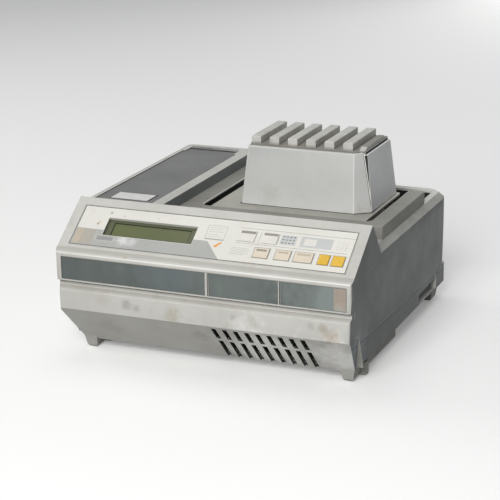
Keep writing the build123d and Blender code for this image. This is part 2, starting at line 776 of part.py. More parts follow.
def front_panel():
    """Overlay, display and keypad on the slanted panel."""
    sheet = on_panel((overlay_left_x + overlay_right_x) / 2, (overlay_bottom_t + overlay_top_t) / 2,
                     overlay_right_x - overlay_left_x, overlay_top_t - overlay_bottom_t, -overlay_thickness, 0)
    sheet -= on_panel(display_x, display_t, display_width, display_height, -5, 5)
    for x, t, width, height in key_places():
        sheet -= on_panel(x, t, width + 2 * key_gap, height + 2 * key_gap, -5, 5)
    parts["panel_overlay"] = sheet
    bezel_top = -panel_wall
    bezel_bottom = -glass_depth - 3
    bezel = on_panel(display_x, display_t, display_width + 2 * bezel_margin, display_height + 2 * bezel_margin,
                     bezel_bottom, bezel_top)
    parts["display_bezel"] = bezel - on_panel(display_x, glass_t, glass_width, glass_height, -20, 5)
    parts["display_glass"] = on_panel(display_x, glass_t, glass_width, glass_height, bezel_bottom, -glass_depth)
    display_board = on_panel(display_x, display_t, display_width + 2 * bezel_margin + 4,
                             display_height + 2 * bezel_margin + 4, bezel_bottom - board_thickness, bezel_bottom)

    names = ["key_cream_left", "key_cream_middle", "key_cream_right", "key_yellow_left", "key_yellow_right",
             "key_white_left", "key_white_right"]
    lip_top = -panel_wall - key_lip_drop
    lip_bottom = lip_top - key_lip_thickness
    outward = Axis((0, 0, 0), panel.z_dir)
    switches = []
    for name, (x, t, width, height) in zip(names, key_places()):
        cap = on_panel(x, t, width, height, lip_bottom, key_rise)
        cap = fillet(cap.faces().sort_by(outward)[-1].edges(), key_edge_radius)
        parts[name] = cap + on_panel(x, t, width + 2 * key_lip, height + 2 * key_lip, lip_bottom, lip_top)
        switch_top = lip_bottom - key_travel - key_gap
        switches.append(on_panel(x, t, 7, 7, -board_depth, switch_top))
    bosses = panel_boss_places()
    left, right = bosses[0][0] - 5, bosses[-1][0] + 4
    low, high = bosses[0][1] - 4, bosses[-1][1] + 4
    keypad_board = on_panel((left + right) / 2, (low + high) / 2, right - left, high - low,
                            -board_depth - board_thickness, -board_depth)
    parts["panel_boards"] = group([display_board, keypad_board] + switches)


def front_windows():
    return group([box(x0, x1, window_recess - window_thickness, window_recess, window_bottom_z, window_top_z)
                  for x0, x1 in window_spans()])


def deck():
    """Light tray top around the well: ledge on the left, strip in front, raised rail on the right."""
    left = bay_right_x + fit_gap
    low = deck_z - deck_thickness
    top = box(left, deck_right_x, deck_front_y, rail_rear_y, low, deck_z)
    top += box(left, well_left_x, deck_front_y, opening_rear_y, low, deck_z)
    well = footprint(well_left_x, well_right_x, well_front_y, opening_rear_y + 20, well_corner, 1)
    top -= Pos(0, 0, low - 1) * extrude(well, deck_thickness + 2, dir=(0, 0, 1))
    top += box(deck_right_x - deck_thickness, deck_right_x, deck_front_y, rail_rear_y, flange_z, deck_z)
    top += box(left + 4, deck_right_x, deck_front_y, deck_front_y + deck_thickness, flange_z, deck_z)
    corner = lines_along(top, Axis.Z, x=deck_right_x, y=deck_front_y)
    top = fillet(corner, 2.0)
    return fillet(lines_along(top, Axis.Y, x=deck_right_x, z=deck_z), 1.0)


def well_tray():
    """Dark tray under the shaking plate, with a hole for each bearing."""
    x0, x1 = bay_right_x + fit_gap, opening_right_x + 3
    y0, y1 = deck_front_y + 4, opening_rear_y + 3
    tray = box(x0, x1, y0, y1, tray_floor_z, flange_z - wall)
    tray -= box(x0 + tray_wall, x1 - tray_wall, y0 + tray_wall, y1 - tray_wall, tray_floor_z + tray_wall, flange_z)
    tray -= rod_z(drive_x, drive_y, bearing_radius + fit_gap, 0, flange_z)
    for x, y in idlers:
        tray -= rod_z(x, y, idler_bearing_radius + fit_gap, 0, flange_z)
    return tray


def shaking_plate():
    """Platform on three pins, with the heated block and the light floor plate on top."""
    x0, x1 = plate_left_x + platform_inset, plate_right_x - platform_inset
    y0, y1 = plate_front_y + platform_inset, plate_rear_y - platform_inset
    platform = box(x0, x1, y0, y1, platform_z, platform_top_z)
    bushes = []
    pins = [(drive_x, drive_y, crank_pin_radius, running_gap)]
    pins += [(x, y, idler_pin_radius, open_pivot_gap) for x, y in idlers]
    for x, y, radius, gap in pins:
        outer = radius + gap + bush_wall
        platform -= rod_z(x + orbit_radius, y, outer, platform_z - 1, platform_top_z + 1)
        bushes.append(rod_z(x + orbit_radius, y, outer, platform_z - 1, platform_top_z)
                      - rod_z(x + orbit_radius, y, radius + gap, platform_z - 2, platform_top_z + 1))
    for x in (x0 + 10, x1 - 7):
        for y in (y0 + 7, y1 + 0.5 - plate_post_radius):
            platform += rod_z(x, y, plate_post_radius, platform_z, plate_z)
    parts["platform"] = platform
    parts["pin_bushes"] = group(bushes)
    parts["block_insulation"] = box(block_left_x - 3, block_right_x + 3, block_front_y - 3, block_rear_y + 3,
                                    platform_top_z, heater_z)
    parts["plate_heater"] = box(block_left_x + 4, block_right_x - 4, block_front_y + 4, block_rear_y - 4, heater_z,
                                block_z)
    block = box(block_left_x, block_right_x, block_front_y, block_rear_y, block_z, plate_z)
    parts["heating_block"] = block
    plate = extrude(footprint(plate_left_x, plate_right_x, plate_front_y, plate_rear_y, 4, 4), plate_thickness,
                    dir=(0, 0, 1))
    parts["floor_plate"] = Pos(0, 0, plate_z) * plate

    corners = []
    reach_x, reach_y = microplate_length / 2 + guide_play, microplate_width / 2 + guide_play
    for sx in (-1, 1):
        for sy in (-1, 1):
            x, y = guide_x + sx * reach_x, guide_y + sy * reach_y
            along_x = box(*sorted((x - sx * guide_arm, x + sx * guide_wall)), *sorted((y, y + sy * guide_wall)),
                          plate_top_z, plate_top_z + guide_height)
            along_y = box(*sorted((x, x + sx * guide_wall)), *sorted((y - sy * guide_arm, y + sy * guide_wall)),
                          plate_top_z, plate_top_z + guide_height)
            corners.append(along_x + along_y)
    parts["plate_guides"] = group(corners)


def crank(x, y, shaft_radius, pin_radius, disc_radius, low_z):
    """Upright shaft with a disc and an off-centre pin on top."""
    solid = rod_z(x, y, shaft_radius, low_z, crank_disc_z)
    solid += rod_z(x, y, disc_radius, crank_disc_z, crank_pin_z)
    return solid + rod_z(x + orbit_radius, y, pin_radius, crank_pin_z, platform_top_z - pin_head_room)


def bearing(x, y, radius, bore):
    tube = rod_z(x, y, radius, bearing_z, bearing_z + bearing_height)
    tube += rod_z(x, y, radius + bearing_flange_width, bearing_z, bearing_z + bearing_flange_height)
    return tube - rod_z(x, y, bore, bearing_z - 1, bearing_z + bearing_height + 1)


def belt_outline(extra):
    """Round both pulleys, this far outside their pitch radius."""
    big, small = crank_pulley_radius + extra, motor_pulley_radius + extra
    lean = atan2(big - small, motor_reach)
    up = (-sin(lean), cos(lean))
    loop = [(drive_x + big * up[0], drive_y + big * up[1]), (motor_x + small * up[0], motor_y + small * up[1]),
            (motor_x + small * up[0], motor_y - small * up[1]), (drive_x + big * up[0], drive_y - big * up[1])]
    face = make_face(Polyline(*loop, close=True))
    return face + Pos(drive_x, drive_y) * Circle(big) + Pos(motor_x, motor_y) * Circle(small)


def orbital_drive():
    drive = crank(drive_x, drive_y, crank_shaft_radius, crank_pin_radius, crank_disc_radius, pulley_z - shaft_foot)
    weight = rod_z(drive_x, drive_y, counterweight_radius, crank_disc_z, crank_pin_z)
    weight &= box(drive_x - counterweight_radius, drive_x, drive_y - counterweight_radius,
                  drive_y + counterweight_radius, crank_disc_z, crank_pin_z)
    parts["drive_crank"] = drive + weight
    pulley = rod_z(drive_x, drive_y, crank_pulley_radius, pulley_z, pulley_z + pulley_height)
    parts["drive_pulley"] = pulley - rod_z(drive_x, drive_y, crank_shaft_radius, 0, ridge_z)
    for name, (x, y) in zip(("idler_crank_left", "idler_crank_right"), idlers):
        disc_radius = idler_pin_radius + idler_disc_rim
        parts[name] = crank(x, y, idler_shaft_radius, idler_pin_radius, disc_radius, bearing_z + shaft_foot)
    bearings = [bearing(drive_x, drive_y, bearing_radius, crank_shaft_radius + running_gap)]
    bearings += [bearing(x, y, idler_bearing_radius, idler_shaft_radius + running_gap) for x, y in idlers]
    parts["shaft_bearings"] = group(bearings)
    reach_x, front_y = idler_reach_x + frame_margin, drive_y - frame_front_reach
    rear_y = drive_y + idler_reach_y + frame_margin
    frame = box(drive_x - reach_x, drive_x + reach_x, front_y, rear_y, frame_plate_z, bearing_z)
    frame -= rod_z(drive_x, drive_y, crank_shaft_radius + shaft_room, 0, ridge_z)
    for x in (drive_x - reach_x + frame_post_inset, drive_x + reach_x - frame_post_inset):
        for y in (front_y + frame_post_inset, rear_y - frame_post_inset):
            frame += rod_z(x, y, frame_post_radius, chassis_top_z, frame_plate_z)
    parts["drive_frame"] = frame
    motor = rod_z(motor_x, motor_y, motor_radius, chassis_top_z, motor_top_z)
    motor += box(motor_x - motor_flange / 2, motor_x + motor_flange / 2, motor_y - motor_flange / 2,
                 motor_y + motor_flange / 2, chassis_top_z, chassis_top_z + motor_flange_thickness)
    shaft_z = motor_top_z - motor_shaft_depth
    parts["drive_motor"] = motor - rod_z(motor_x, motor_y, motor_shaft_radius + running_gap, shaft_z - 1,
                                         motor_top_z + 1)
    shaft = rod_z(motor_x, motor_y, motor_shaft_radius, shaft_z, pulley_z + pulley_height)
    parts["motor_pulley"] = shaft + rod_z(motor_x, motor_y, motor_pulley_radius, pulley_z, pulley_z + pulley_height)
    belt_z = pulley_z + (pulley_height - belt_width) / 2
    belt = belt_outline(fit_gap + belt_thickness) - belt_outline(fit_gap)
    parts["drive_belt"] = Pos(0, 0, belt_z) * extrude(belt, belt_width, dir=(0, 0, 1))


def hood_block(inset, height):
    """Tapering block with the hood's outline, made smaller all round by inset."""
    outline = make_face(Polyline((hood_left_x, hood_front_y), (hood_right_x - hood_chamfer_x, hood_front_y),
                                 (hood_right_x, hood_front_y + hood_chamfer_y), (hood_right_x, hood_rear_y),
                                 (hood_left_x, hood_rear_y), close=True))
    if inset:
        outline = offset(outline, -inset, kind=Kind.INTERSECTION)
    return Pos(0, 0, hood_z) * extrude(outline, height, taper=hood_taper)


def hood():
    block = hood_block(0, hood_height)
    cover_y = hood_front_y + hood_chamfer_y
    gap_x = hood_cover_thickness + hood_cover_gap
    side_zone = box(drive_x, hood_right_x + 1, cover_y, hood_rear_y + 1, hood_z - 1, hood_top_z + 1)
    cover_zone = box(drive_x, hood_right_x + 1, cover_y + hood_cover_gap, hood_rear_y + 1, hood_z - 1, hood_top_z + 1)
    cover_zone -= box(drive_x, half, 0, case_depth, hood_top_z - hood_cover_drop, hood_top_z + 2)
    parts["hood_side_cover"] = (block - Pos(-hood_cover_thickness, 0, 0) * block) & cover_zone
    shell = block - ((block - Pos(-gap_x, 0, 0) * block) & side_zone)
    front_top = [edge for edge in shell.edges()
                 if edge.center().Z > hood_top_z - 0.1 and edge.center().Y < cover_y - 5 or
                 edge.center().Z > hood_top_z - 0.1 and edge.center().X < hood_left_x + 10]
    left_front = [edge for edge in shell.edges()
                  if edge.center().X < hood_left_x + 10 and edge.center().Y < hood_front_y + 10
                  and abs(edge.center().Z - (hood_z + hood_top_z) / 2) < 1]
    shell = fillet(front_top + left_front, hood_edge_radius)
    inner = hood_block(hood_wall, hood_height - hood_wall)
    inner &= Pos(-gap_x, 0, 0) * inner
    parts["hood_shell"] = shell - inner

    ceiling = hood_top_z - hood_wall
    inside = hood_block(hood_wall + 1, hood_height)
    inside &= Pos(-gap_x, 0, 0) * inside
    parts["hood_insulation"] = inside & box(-half, half, 0, case_depth, ceiling - hood_insulation, ceiling)
    parts["hood_heater"] = inside & box(-half, half, 0, case_depth, ceiling - hood_insulation - liner_thickness,
                                        ceiling - hood_insulation)

    grille = box(rib_first_x - rib_width / 2 - 1, low_rib_x + low_rib_width / 2, rib_front_y - 0.5, rib_rear_y + 0.5,
                 hood_top_z, hood_top_z + rib_base)
    grille -= box(low_rib_x - low_rib_width / 2 - 1, half, 0, low_rib_front_y, hood_top_z - 1, hood_top_z + 10)
    for index in range(rib_count):
        x = rib_first_x + index * rib_pitch
        rib = box(x - rib_width / 2, x + rib_width / 2, rib_front_y, rib_rear_y, hood_top_z,
                  hood_top_z + rib_height)
        top_edges = rib.faces().sort_by(Axis.Z)[-1].edges()
        grille += fillet(top_edges, 1.4)
    low_rib = prism_x([(low_rib_front_y, hood_top_z), (low_rib_front_y + low_rib_ramp, hood_top_z + low_rib_height),
                       (low_rib_rear_y - 2, hood_top_z + low_rib_height), (low_rib_rear_y, hood_top_z)],
                      low_rib_x - low_rib_width / 2, low_rib_x + low_rib_width / 2)
    parts["hood_ribs"] = grille + low_rib


def printer():
    """Paper bin under the lid, with its spindle, roller, gears, motor, head and tear bar."""
    outer = box(bin_left_x - bin_wall, bin_right_x + bin_wall, bin_front_y - bin_wall, bin_rear_y + bin_wall,
                bin_floor_z, bay_ceiling_z)
    tub = outer - box(bin_left_x, bin_right_x, bin_front_y, bin_rear_y, bin_floor_z + bin_wall, bay_top_z)
    ends = (bin_left_x - bin_wall - 1, bin_right_x + bin_wall + 1)
    tub -= rod_x(spindle_y, spindle_z, spindle_pin_radius + running_gap, *ends)
    tub -= rod_x(platen_y, platen_z, platen_pin_radius + running_gap, *ends)
    tub -= rod_x(hinge_y, hinge_z, hinge_pin_radius, *ends)
    parts["printer_bin"] = tub
    inner_ends = (bin_left_x - bin_wall, bin_right_x + bin_wall)
    spindle = rod_x(spindle_y, spindle_z, spindle_pin_radius, *inner_ends)
    parts["paper_spindle"] = spindle + rod_x(spindle_y, spindle_z, spindle_radius, bin_left_x + 1, bin_right_x - 1)

    gear_x = bin_right_x - gear_from_side
    roller = rod_x(platen_y, platen_z, platen_radius, bin_left_x + roller_margin, gear_x - gear_width / 2 - 1)
    roller += rod_x(platen_y, platen_z, platen_pin_radius, *inner_ends)
    wheel = Pos(gear_x, platen_y, platen_z) * gear(platen_teeth, gear_width)
    parts["platen_roller"] = group([roller, wheel - rod_x(platen_y, platen_z, platen_pin_radius, *ends)])
    half_tooth = 180 / pinion_teeth
    pinion = Pos(gear_x, pinion_y, pinion_z) * Rot(half_tooth, 0, 0) * gear(pinion_teeth, gear_width)
    motor_right = gear_x - gear_width / 2 - 2
    parts["printer_pinion"] = pinion + rod_x(pinion_y, pinion_z, pinion_shaft_radius,
                                              motor_right - pinion_shaft_length, gear_x)
    motor_left = bin_left_x + print_motor_margin
    motor = rod_x(pinion_y, pinion_z, print_motor_radius, motor_left, motor_right)
    motor += box(motor_left, motor_right, pinion_y - print_motor_foot, pinion_y + print_motor_foot,
                 bin_floor_z + bin_wall, pinion_z)
    parts["printer_motor"] = motor - rod_x(pinion_y, pinion_z, pinion_shaft_radius + running_gap,
                                           motor_right - pinion_shaft_length - 1, motor_right + 1)
    head_z = platen_z + platen_radius + fit_gap
    parts["print_head"] = box(bin_left_x, gear_x - gear_width / 2 - 1, platen_y - print_head_front,
                              platen_y + print_head_rear, head_z, head_z + print_head_thickness)

    bar_ends = (lid_left_x + lid_notch_x, lid_right_x - lid_notch_x)
    rear_y = tear_bar_front_y + tear_bar_depth
    bar_top = bay_top_z - 0.2
    bar = box(*bar_ends, tear_bar_front_y, rear_y, lid_seat_z, bar_top)
    step = (bar_ends[1] - bar_ends[0]) / tear_tooth_count
    blade = [(bar_ends[0], bar_top - 1)]
    for tooth in range(tear_tooth_count):
        x = bar_ends[0] + tooth * step
        blade += [(x, bar_top + tear_bar_rise - tear_tooth), (x + step / 2, bar_top + tear_bar_rise)]
    blade += [(bar_ends[1], bar_top + tear_bar_rise - tear_tooth), (bar_ends[1], bar_top - 1)]
    parts["tear_bar"] = bar + prism_y(blade, rear_y - 2.6, rear_y - 1.4)


def printer_lid():
    lid = box(lid_left_x, lid_right_x, lid_front_y, lid_rear_y, lid_bottom_z, lid_top_z)
    notch_y = lid_rear_y - lid_notch_y
    lid -= box(lid_left_x - 1, lid_left_x + lid_notch_x, notch_y, lid_rear_y + 1, 0, ridge_z)
    lid -= box(lid_right_x - lid_notch_x, lid_right_x + 1, notch_y, lid_rear_y + 1, 0, ridge_z)
    undercut = [(notch_y - lid_thickness, lid_bottom_z), (notch_y, lid_top_z), (notch_y, lid_bottom_z)]
    lid -= prism_x(undercut, lid_left_x, lid_left_x + lid_notch_x)
    lid -= prism_x(undercut, lid_right_x - lid_notch_x, lid_right_x)
    lid -= box(label_left_x - fit_gap, label_right_x + fit_gap, label_front_y - fit_gap, label_rear_y + fit_gap,
               lid_top_z - label_thickness, ridge_z)
    pins = []
    for edge_x, inward in ((bin_left_x, 1), (bin_right_x, -1)):
        near, far = edge_x + inward * 1.5, edge_x + inward * (1.5 + hinge_ear)
        lid += box(*sorted((near, far)), hinge_y - 4, hinge_y + 3, hinge_z - 3.5, lid_bottom_z)
        pins.append(rod_x(hinge_y, hinge_z, hinge_pin_radius, *sorted((edge_x - inward * bin_wall, far))))
    lid -= rod_x(hinge_y, hinge_z, hinge_pin_radius + running_gap, lid_left_x, lid_right_x)
    parts["printer_lid"] = lid
    parts["lid_plate"] = box(label_left_x, label_right_x, label_front_y, label_rear_y,
                             lid_top_z - label_thickness, lid_top_z)
    parts["hinge_pins"] = group(pins)


def rear_panel():
    """Metal plate at the back with the mains inlet, the rocker switch, a data port and the fan."""
    inner_y, outer_y = rear_panel_y - rear_plate_thickness, rear_panel_y
    low, high = rear_seam_z + rear_plate_margin, rear_panel_top_z - rear_plate_margin
    z = rear_plate_z
    plate = box(-rear_plate_half + fit_gap, rear_plate_half - fit_gap, inner_y, outer_y, low + fit_gap,
                high - fit_gap)
    cutouts = [(inlet_x, inlet_width, inlet_height), (rocker_x, rocker_width, rocker_height),
               (port_x, port_width, port_height)]
    for x, width, height in cutouts:
        plate -= box(x - width / 2, x + width / 2, 0, case_depth, z - height / 2, z + height / 2)
    holes = rod_y(fan_x, z, fan_bore, 0, case_depth)
    for turn in (45, 135):
        bar = Box(2 * fan_size, 2 * case_depth, 2.0)
        holes -= Pos(fan_x, 0, z) * Rot(0, turn, 0) * bar
    for radius in (7, 13):
        ring = rod_y(fan_x, z, radius + 1, 0, case_depth) - rod_y(fan_x, z, radius - 1, 0, case_depth)
        holes -= ring
    parts["rear_plate"] = plate - holes

    inlet = box(inlet_x - inlet_width / 2, inlet_x + inlet_width / 2, outer_y - inlet_depth, outer_y,
                z - inlet_height / 2, z + inlet_height / 2)
    inlet += box(inlet_x - inlet_width / 2 - 3, inlet_x + inlet_width / 2 + 3, outer_y, outer_y + inlet_lip,
                 z - inlet_height / 2 - 2, z + inlet_height / 2 + 2)
    inlet -= box(inlet_x - inlet_width / 2 + inlet_wall, inlet_x + inlet_width / 2 - inlet_wall,
                 outer_y - inlet_depth + inlet_back, outer_y + 2 * inlet_lip, z - inlet_height / 2 + inlet_wall,
                 z + inlet_height / 2 - inlet_wall)
    blades = []
    for dx, dz in ((-blade_spread, blade_low_z), (blade_spread, blade_low_z), (0, blade_high_z)):
        blades.append(box(inlet_x + dx - blade_thickness / 2, inlet_x + dx + blade_thickness / 2,
                          outer_y - inlet_depth + inlet_back, outer_y - 2, z + dz - blade_height / 2,
                          z + dz + blade_height / 2))
    parts["power_inlet"] = group([inlet] + blades)

    frame = box(rocker_x - rocker_width / 2, rocker_x + rocker_width / 2, outer_y - rocker_depth - 4, outer_y,
                z - rocker_height / 2, z + rocker_height / 2)
    frame += box(rocker_x - rocker_width / 2 - 1.5, rocker_x + rocker_width / 2 + 1.5, outer_y, outer_y + 1.2,
                 z - rocker_height / 2 - 1.5, z + rocker_height / 2 + 1.5)
    frame -= box(rocker_x - rocker_width / 2 + 1.2, rocker_x + rocker_width / 2 - 1.2, outer_y - rocker_depth - 2,
                 outer_y + 3, z - rocker_height / 2 + 1.2, z + rocker_height / 2 - 1.2)
    pivot_y = outer_y - rocker_pivot_depth
    reach = rocker_height / 2 - 2.6
    pin_ends = (rocker_x - rocker_width / 2 + 1.2, rocker_x + rocker_width / 2 - 1.2)
    rocker = prism_x([(-3, -3), (reach + 0.8, -reach), (reach - 0.8, 0), (reach + 0.8, reach), (-3, 3)],
                     pin_ends[0] + fit_gap, pin_ends[1] - fit_gap)
    rocker = Pos(0, pivot_y, z) * Rot(rocker_angle, 0, 0) * rocker
    parts["rocker_frame"] = frame + rod_x(pivot_y, z, 1.5, *pin_ends)
    parts["power_rocker"] = rocker - rod_x(pivot_y, z, 1.5 + running_gap, -half, half)

    port = box(port_x - port_width / 2, port_x + port_width / 2, outer_y - 8, outer_y + port_rise,
               z - port_height / 2, z + port_height / 2)
    port -= box(port_x - port_width / 2 + port_margin, port_x + port_width / 2 - port_margin, outer_y - port_recess,
                outer_y + port_rise + 1, z - port_opening / 2, z + port_opening / 2)
    parts["data_port"] = port


def fan():
    z = rear_plate_z
    back = rear_panel_y - rear_plate_thickness
    front = back - fan_depth
    half_fan = fan_size / 2
    frame = box(fan_x - half_fan, fan_x + half_fan, front, back, z - half_fan, z + half_fan)
    frame -= rod_y(fan_x, z, fan_bore, front - 1, back + 1)
    frame += rod_y(fan_x, z, fan_hub_radius, back - 4, back)
    for turn in (90, 210, 330):
        strut = Pos((fan_hub_radius + fan_bore) / 2, 0, 0) * Box(fan_bore - fan_hub_radius + 2, 3, 2.4)
        frame += Pos(fan_x, back - 1.5, z) * Rot(0, turn, 0) * strut
    frame -= rod_y(fan_x, z, fan_shaft_radius + running_gap, front, back + 1)
    parts["fan_frame"] = frame
    rotor_back = back - 4 - fit_gap
    rotor = rod_y(fan_x, z, fan_hub_radius, front + 2, rotor_back)
    blade_reach = fan_bore - 0.8
    for index in range(fan_blades):
        blade = Pos((fan_hub_radius - 0.5 + blade_reach) / 2, 0, 0) * Rot(35, 0, 0) * Box(
            blade_reach - fan_hub_radius + 0.5, 9, 1.2)
        rotor += Pos(fan_x, (front + 2 + rotor_back) / 2, z) * Rot(0, index * 360 / fan_blades, 0) * blade
    parts["fan_rotor"] = rotor + rod_y(fan_x, z, fan_shaft_radius, rotor_back, back - 0.5)


def electronics():
    """Chassis plate with standoffs, power supply and the main board with its components."""
    x0, x1 = main_board_left_x, main_board_left_x + main_board_width
    y0, y1 = main_board_front_y, main_board_front_y + main_board_length
    chassis = box(supply_left_x - chassis_edge, x1 + chassis_margin, chassis_front_y, chassis_rear_y, floor_z,
                  chassis_top_z)
    for x in (x0 + standoff_inset, x1 - standoff_inset):
        for y in (y0 + standoff_inset, y1 - standoff_inset):
            chassis += rod_z(x, y, standoff_radius, floor_z, main_board_z)
    parts["chassis_plate"] = chassis
    parts["power_supply"] = box(supply_left_x, supply_left_x + supply_width, supply_front_y,
                                supply_front_y + supply_length, chassis_top_z, chassis_top_z + supply_height)
    board_top = main_board_z + board_thickness
    solids = [box(x0, x1, y0, y1, main_board_z, board_top)]
    for along, across, length, width, height in board_components:
        x, y = x0 + along * main_board_width, y0 + across * main_board_length
        solids.append(box(x - length / 2, x + length / 2, y - width / 2, y + width / 2, board_top,
                          board_top + height))
    parts["main_board"] = group(solids)


parts["upper_case"] = upper_case()
parts["lower_case"] = lower_case()
parts["feet"] = feet()
parts["base_skids"] = skids()
parts["case_screws"] = case_screws()
front_panel()
parts["front_windows"] = front_windows()
parts["deck"] = deck()
parts["well_tray"] = well_tray()
shaking_plate()
orbital_drive()
hood()
printer()
printer_lid()
rear_panel()
fan()
electronics()

os.makedirs("parts", exist_ok=True)
for name, shape in parts.items():
    export_step(Pos(0, -overall_depth / 2, -bench_z) * shape, f"parts/{name}.step")
print(len(parts), "nodes written")
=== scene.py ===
# %% [markdown]
# This lesson dresses a bench shaker. The construction is already there as a fixed frame of solids, each one
# in its true place, so nothing here moves or resizes them. What is left to make is what the eye reads as
# real: rounded edges that catch light, printed ink, stained paint, dust and painted shade in corners, painted
# shadows and highlights, small screws. Everything is in metres. X runs to the right, Y towards the back and Z
# up, with the bench at Z = 0.

# %% Load the frame
import json
from math import cos, degrees, pi, radians, sin

import bmesh
import bpy
import numpy as np
from mathutils import Matrix, Vector

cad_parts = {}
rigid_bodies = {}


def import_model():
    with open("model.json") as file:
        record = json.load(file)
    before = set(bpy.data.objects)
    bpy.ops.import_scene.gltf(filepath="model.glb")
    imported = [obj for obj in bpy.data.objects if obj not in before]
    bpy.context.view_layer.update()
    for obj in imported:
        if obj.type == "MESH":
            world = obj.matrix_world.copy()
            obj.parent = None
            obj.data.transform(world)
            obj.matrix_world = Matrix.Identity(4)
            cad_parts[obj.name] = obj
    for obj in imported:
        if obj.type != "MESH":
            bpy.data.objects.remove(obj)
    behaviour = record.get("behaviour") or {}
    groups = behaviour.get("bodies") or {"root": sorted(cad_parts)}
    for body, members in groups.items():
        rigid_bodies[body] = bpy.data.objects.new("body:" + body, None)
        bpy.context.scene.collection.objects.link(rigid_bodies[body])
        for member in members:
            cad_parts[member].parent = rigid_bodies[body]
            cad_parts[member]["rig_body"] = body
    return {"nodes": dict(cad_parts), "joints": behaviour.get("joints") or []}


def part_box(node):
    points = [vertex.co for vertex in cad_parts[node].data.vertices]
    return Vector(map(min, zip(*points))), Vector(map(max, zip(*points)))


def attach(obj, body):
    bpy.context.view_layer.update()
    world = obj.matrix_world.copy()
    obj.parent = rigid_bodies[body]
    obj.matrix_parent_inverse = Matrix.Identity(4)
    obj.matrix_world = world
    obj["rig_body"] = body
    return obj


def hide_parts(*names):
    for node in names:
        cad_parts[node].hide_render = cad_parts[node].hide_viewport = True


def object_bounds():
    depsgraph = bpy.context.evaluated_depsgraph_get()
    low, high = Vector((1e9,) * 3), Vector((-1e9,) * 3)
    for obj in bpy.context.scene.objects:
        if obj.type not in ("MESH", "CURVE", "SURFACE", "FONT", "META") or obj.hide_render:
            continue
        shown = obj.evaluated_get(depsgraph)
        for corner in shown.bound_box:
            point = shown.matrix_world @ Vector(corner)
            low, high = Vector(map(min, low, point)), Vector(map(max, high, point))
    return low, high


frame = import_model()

MM = 0.001
cad_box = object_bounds()
stage_scene = bpy.context.scene

# %% [markdown]
# A photograph fixes where the camera stood. Its place, the two angles it looked along and its slight
# roll were worked out from the object's own straight edges, and the long lens keeps the sides of the case
# nearly parallel. Three unit vectors, to the right, up and back, make the camera's rotation.

# %% Camera
VIEW_AZIMUTH, VIEW_ELEVATION, VIEW_ROLL = radians(22.8), radians(17.1), radians(-0.8)
CAMERA_PLACE = Vector((0.7352, -1.7861, 0.6889))
FOCAL_PIXELS, PHOTO_PIXELS = 1701.9, 500
SENSOR_WIDTH = 36.0

back = Vector((sin(VIEW_AZIMUTH) * cos(VIEW_ELEVATION), -cos(VIEW_AZIMUTH) * cos(VIEW_ELEVATION),
               sin(VIEW_ELEVATION)))
level = Vector((cos(VIEW_AZIMUTH), sin(VIEW_AZIMUTH), 0))
upright = back.cross(level)
right = level * cos(VIEW_ROLL) + upright * sin(VIEW_ROLL)
up = upright * cos(VIEW_ROLL) - level * sin(VIEW_ROLL)
turn = Matrix((right, up, back)).transposed().to_4x4()
camera_data = bpy.data.cameras.new("camera")
camera_data.sensor_width = SENSOR_WIDTH
camera_data.lens = SENSOR_WIDTH * FOCAL_PIXELS / PHOTO_PIXELS
camera = bpy.data.objects.new("camera", camera_data)
camera.matrix_world = Matrix.Translation(CAMERA_PLACE) @ turn
stage_scene.collection.objects.link(camera)
stage_scene.camera = camera
print("lens", round(camera_data.lens, 1), "mm")

# %% [markdown]
# Colours are written as they look on a screen, in hex, and Blender computes in linear light, so one
# function turns the one into the other. Materials are node trees, and one small helper adds a node, sets
# its properties and feeds its sockets. With only that helper a tree reads from top to bottom.

# %% Colour and node helpers
def linear(colour):
    """sRGB hex to linear RGBA: each channel is ((c + 0.055) / 1.055) ^ 2.4, or c / 12.92 near black."""
    channels = np.array([int(colour[i:i + 2], 16) / 255 for i in (1, 3, 5)])
    value = np.where(channels > 0.04045, ((channels + 0.055) / 1.055) ** 2.4, channels / 12.92)
    return (*value.tolist(), 1.0)


def add(tree, kind, inputs=None, **settings):
    """Adds a node: settings are its properties, and inputs gives each socket a value or what feeds it."""
    made = tree.nodes.new(kind)
    for name, value in settings.items():
        setattr(made, name, value)
    for name, value in (inputs or {}).items():
        if isinstance(value, bpy.types.NodeSocket):
            tree.links.new(value, made.inputs[name])
        else:
            made.inputs[name].default_value = value
    return made


MIX_A, MIX_B, MIX_OUT = 6, 7, 2          # the colour sockets of a Mix node set to RGBA


def clear_tree(name):
    """New material with an empty node tree and its output."""
    material = bpy.data.materials.new(name)
    material.use_nodes = True
    material.node_tree.nodes.clear()
    return material, material.node_tree


print("mid grey #808080 is", round(linear("#808080")[0], 3), "in linear light")

# %% [markdown]
# The case is old painted plastic. Up close three things happen on it at once: broad smudges where hands
# go, smaller brown stains with soft edges, and single specks. They could be painted into an image, but an
# image would have to be wrapped round every solid. Here each is a noise pattern in space whose size is a
# real size in millimetres, pushed through a Map Range so that only its peaks show.

# %% Smudges, stains and specks
SPECK_MM = 9.0
SMUDGE_FROM, SMUDGE_FULL = 0.40, 0.68    # noise lies near 0.5: where a pattern starts, and where it is full
STAIN_FROM, STAIN_FULL = 0.56, 0.74
SPECK_EDGE, SPECK_CORE = 0.09, 0.03      # distance from a speck's middle, as a share of the specks' spacing
FEW_FROM, FEW_FULL = 0.52, 0.60          # specks stay only where the stain noise is at least this high


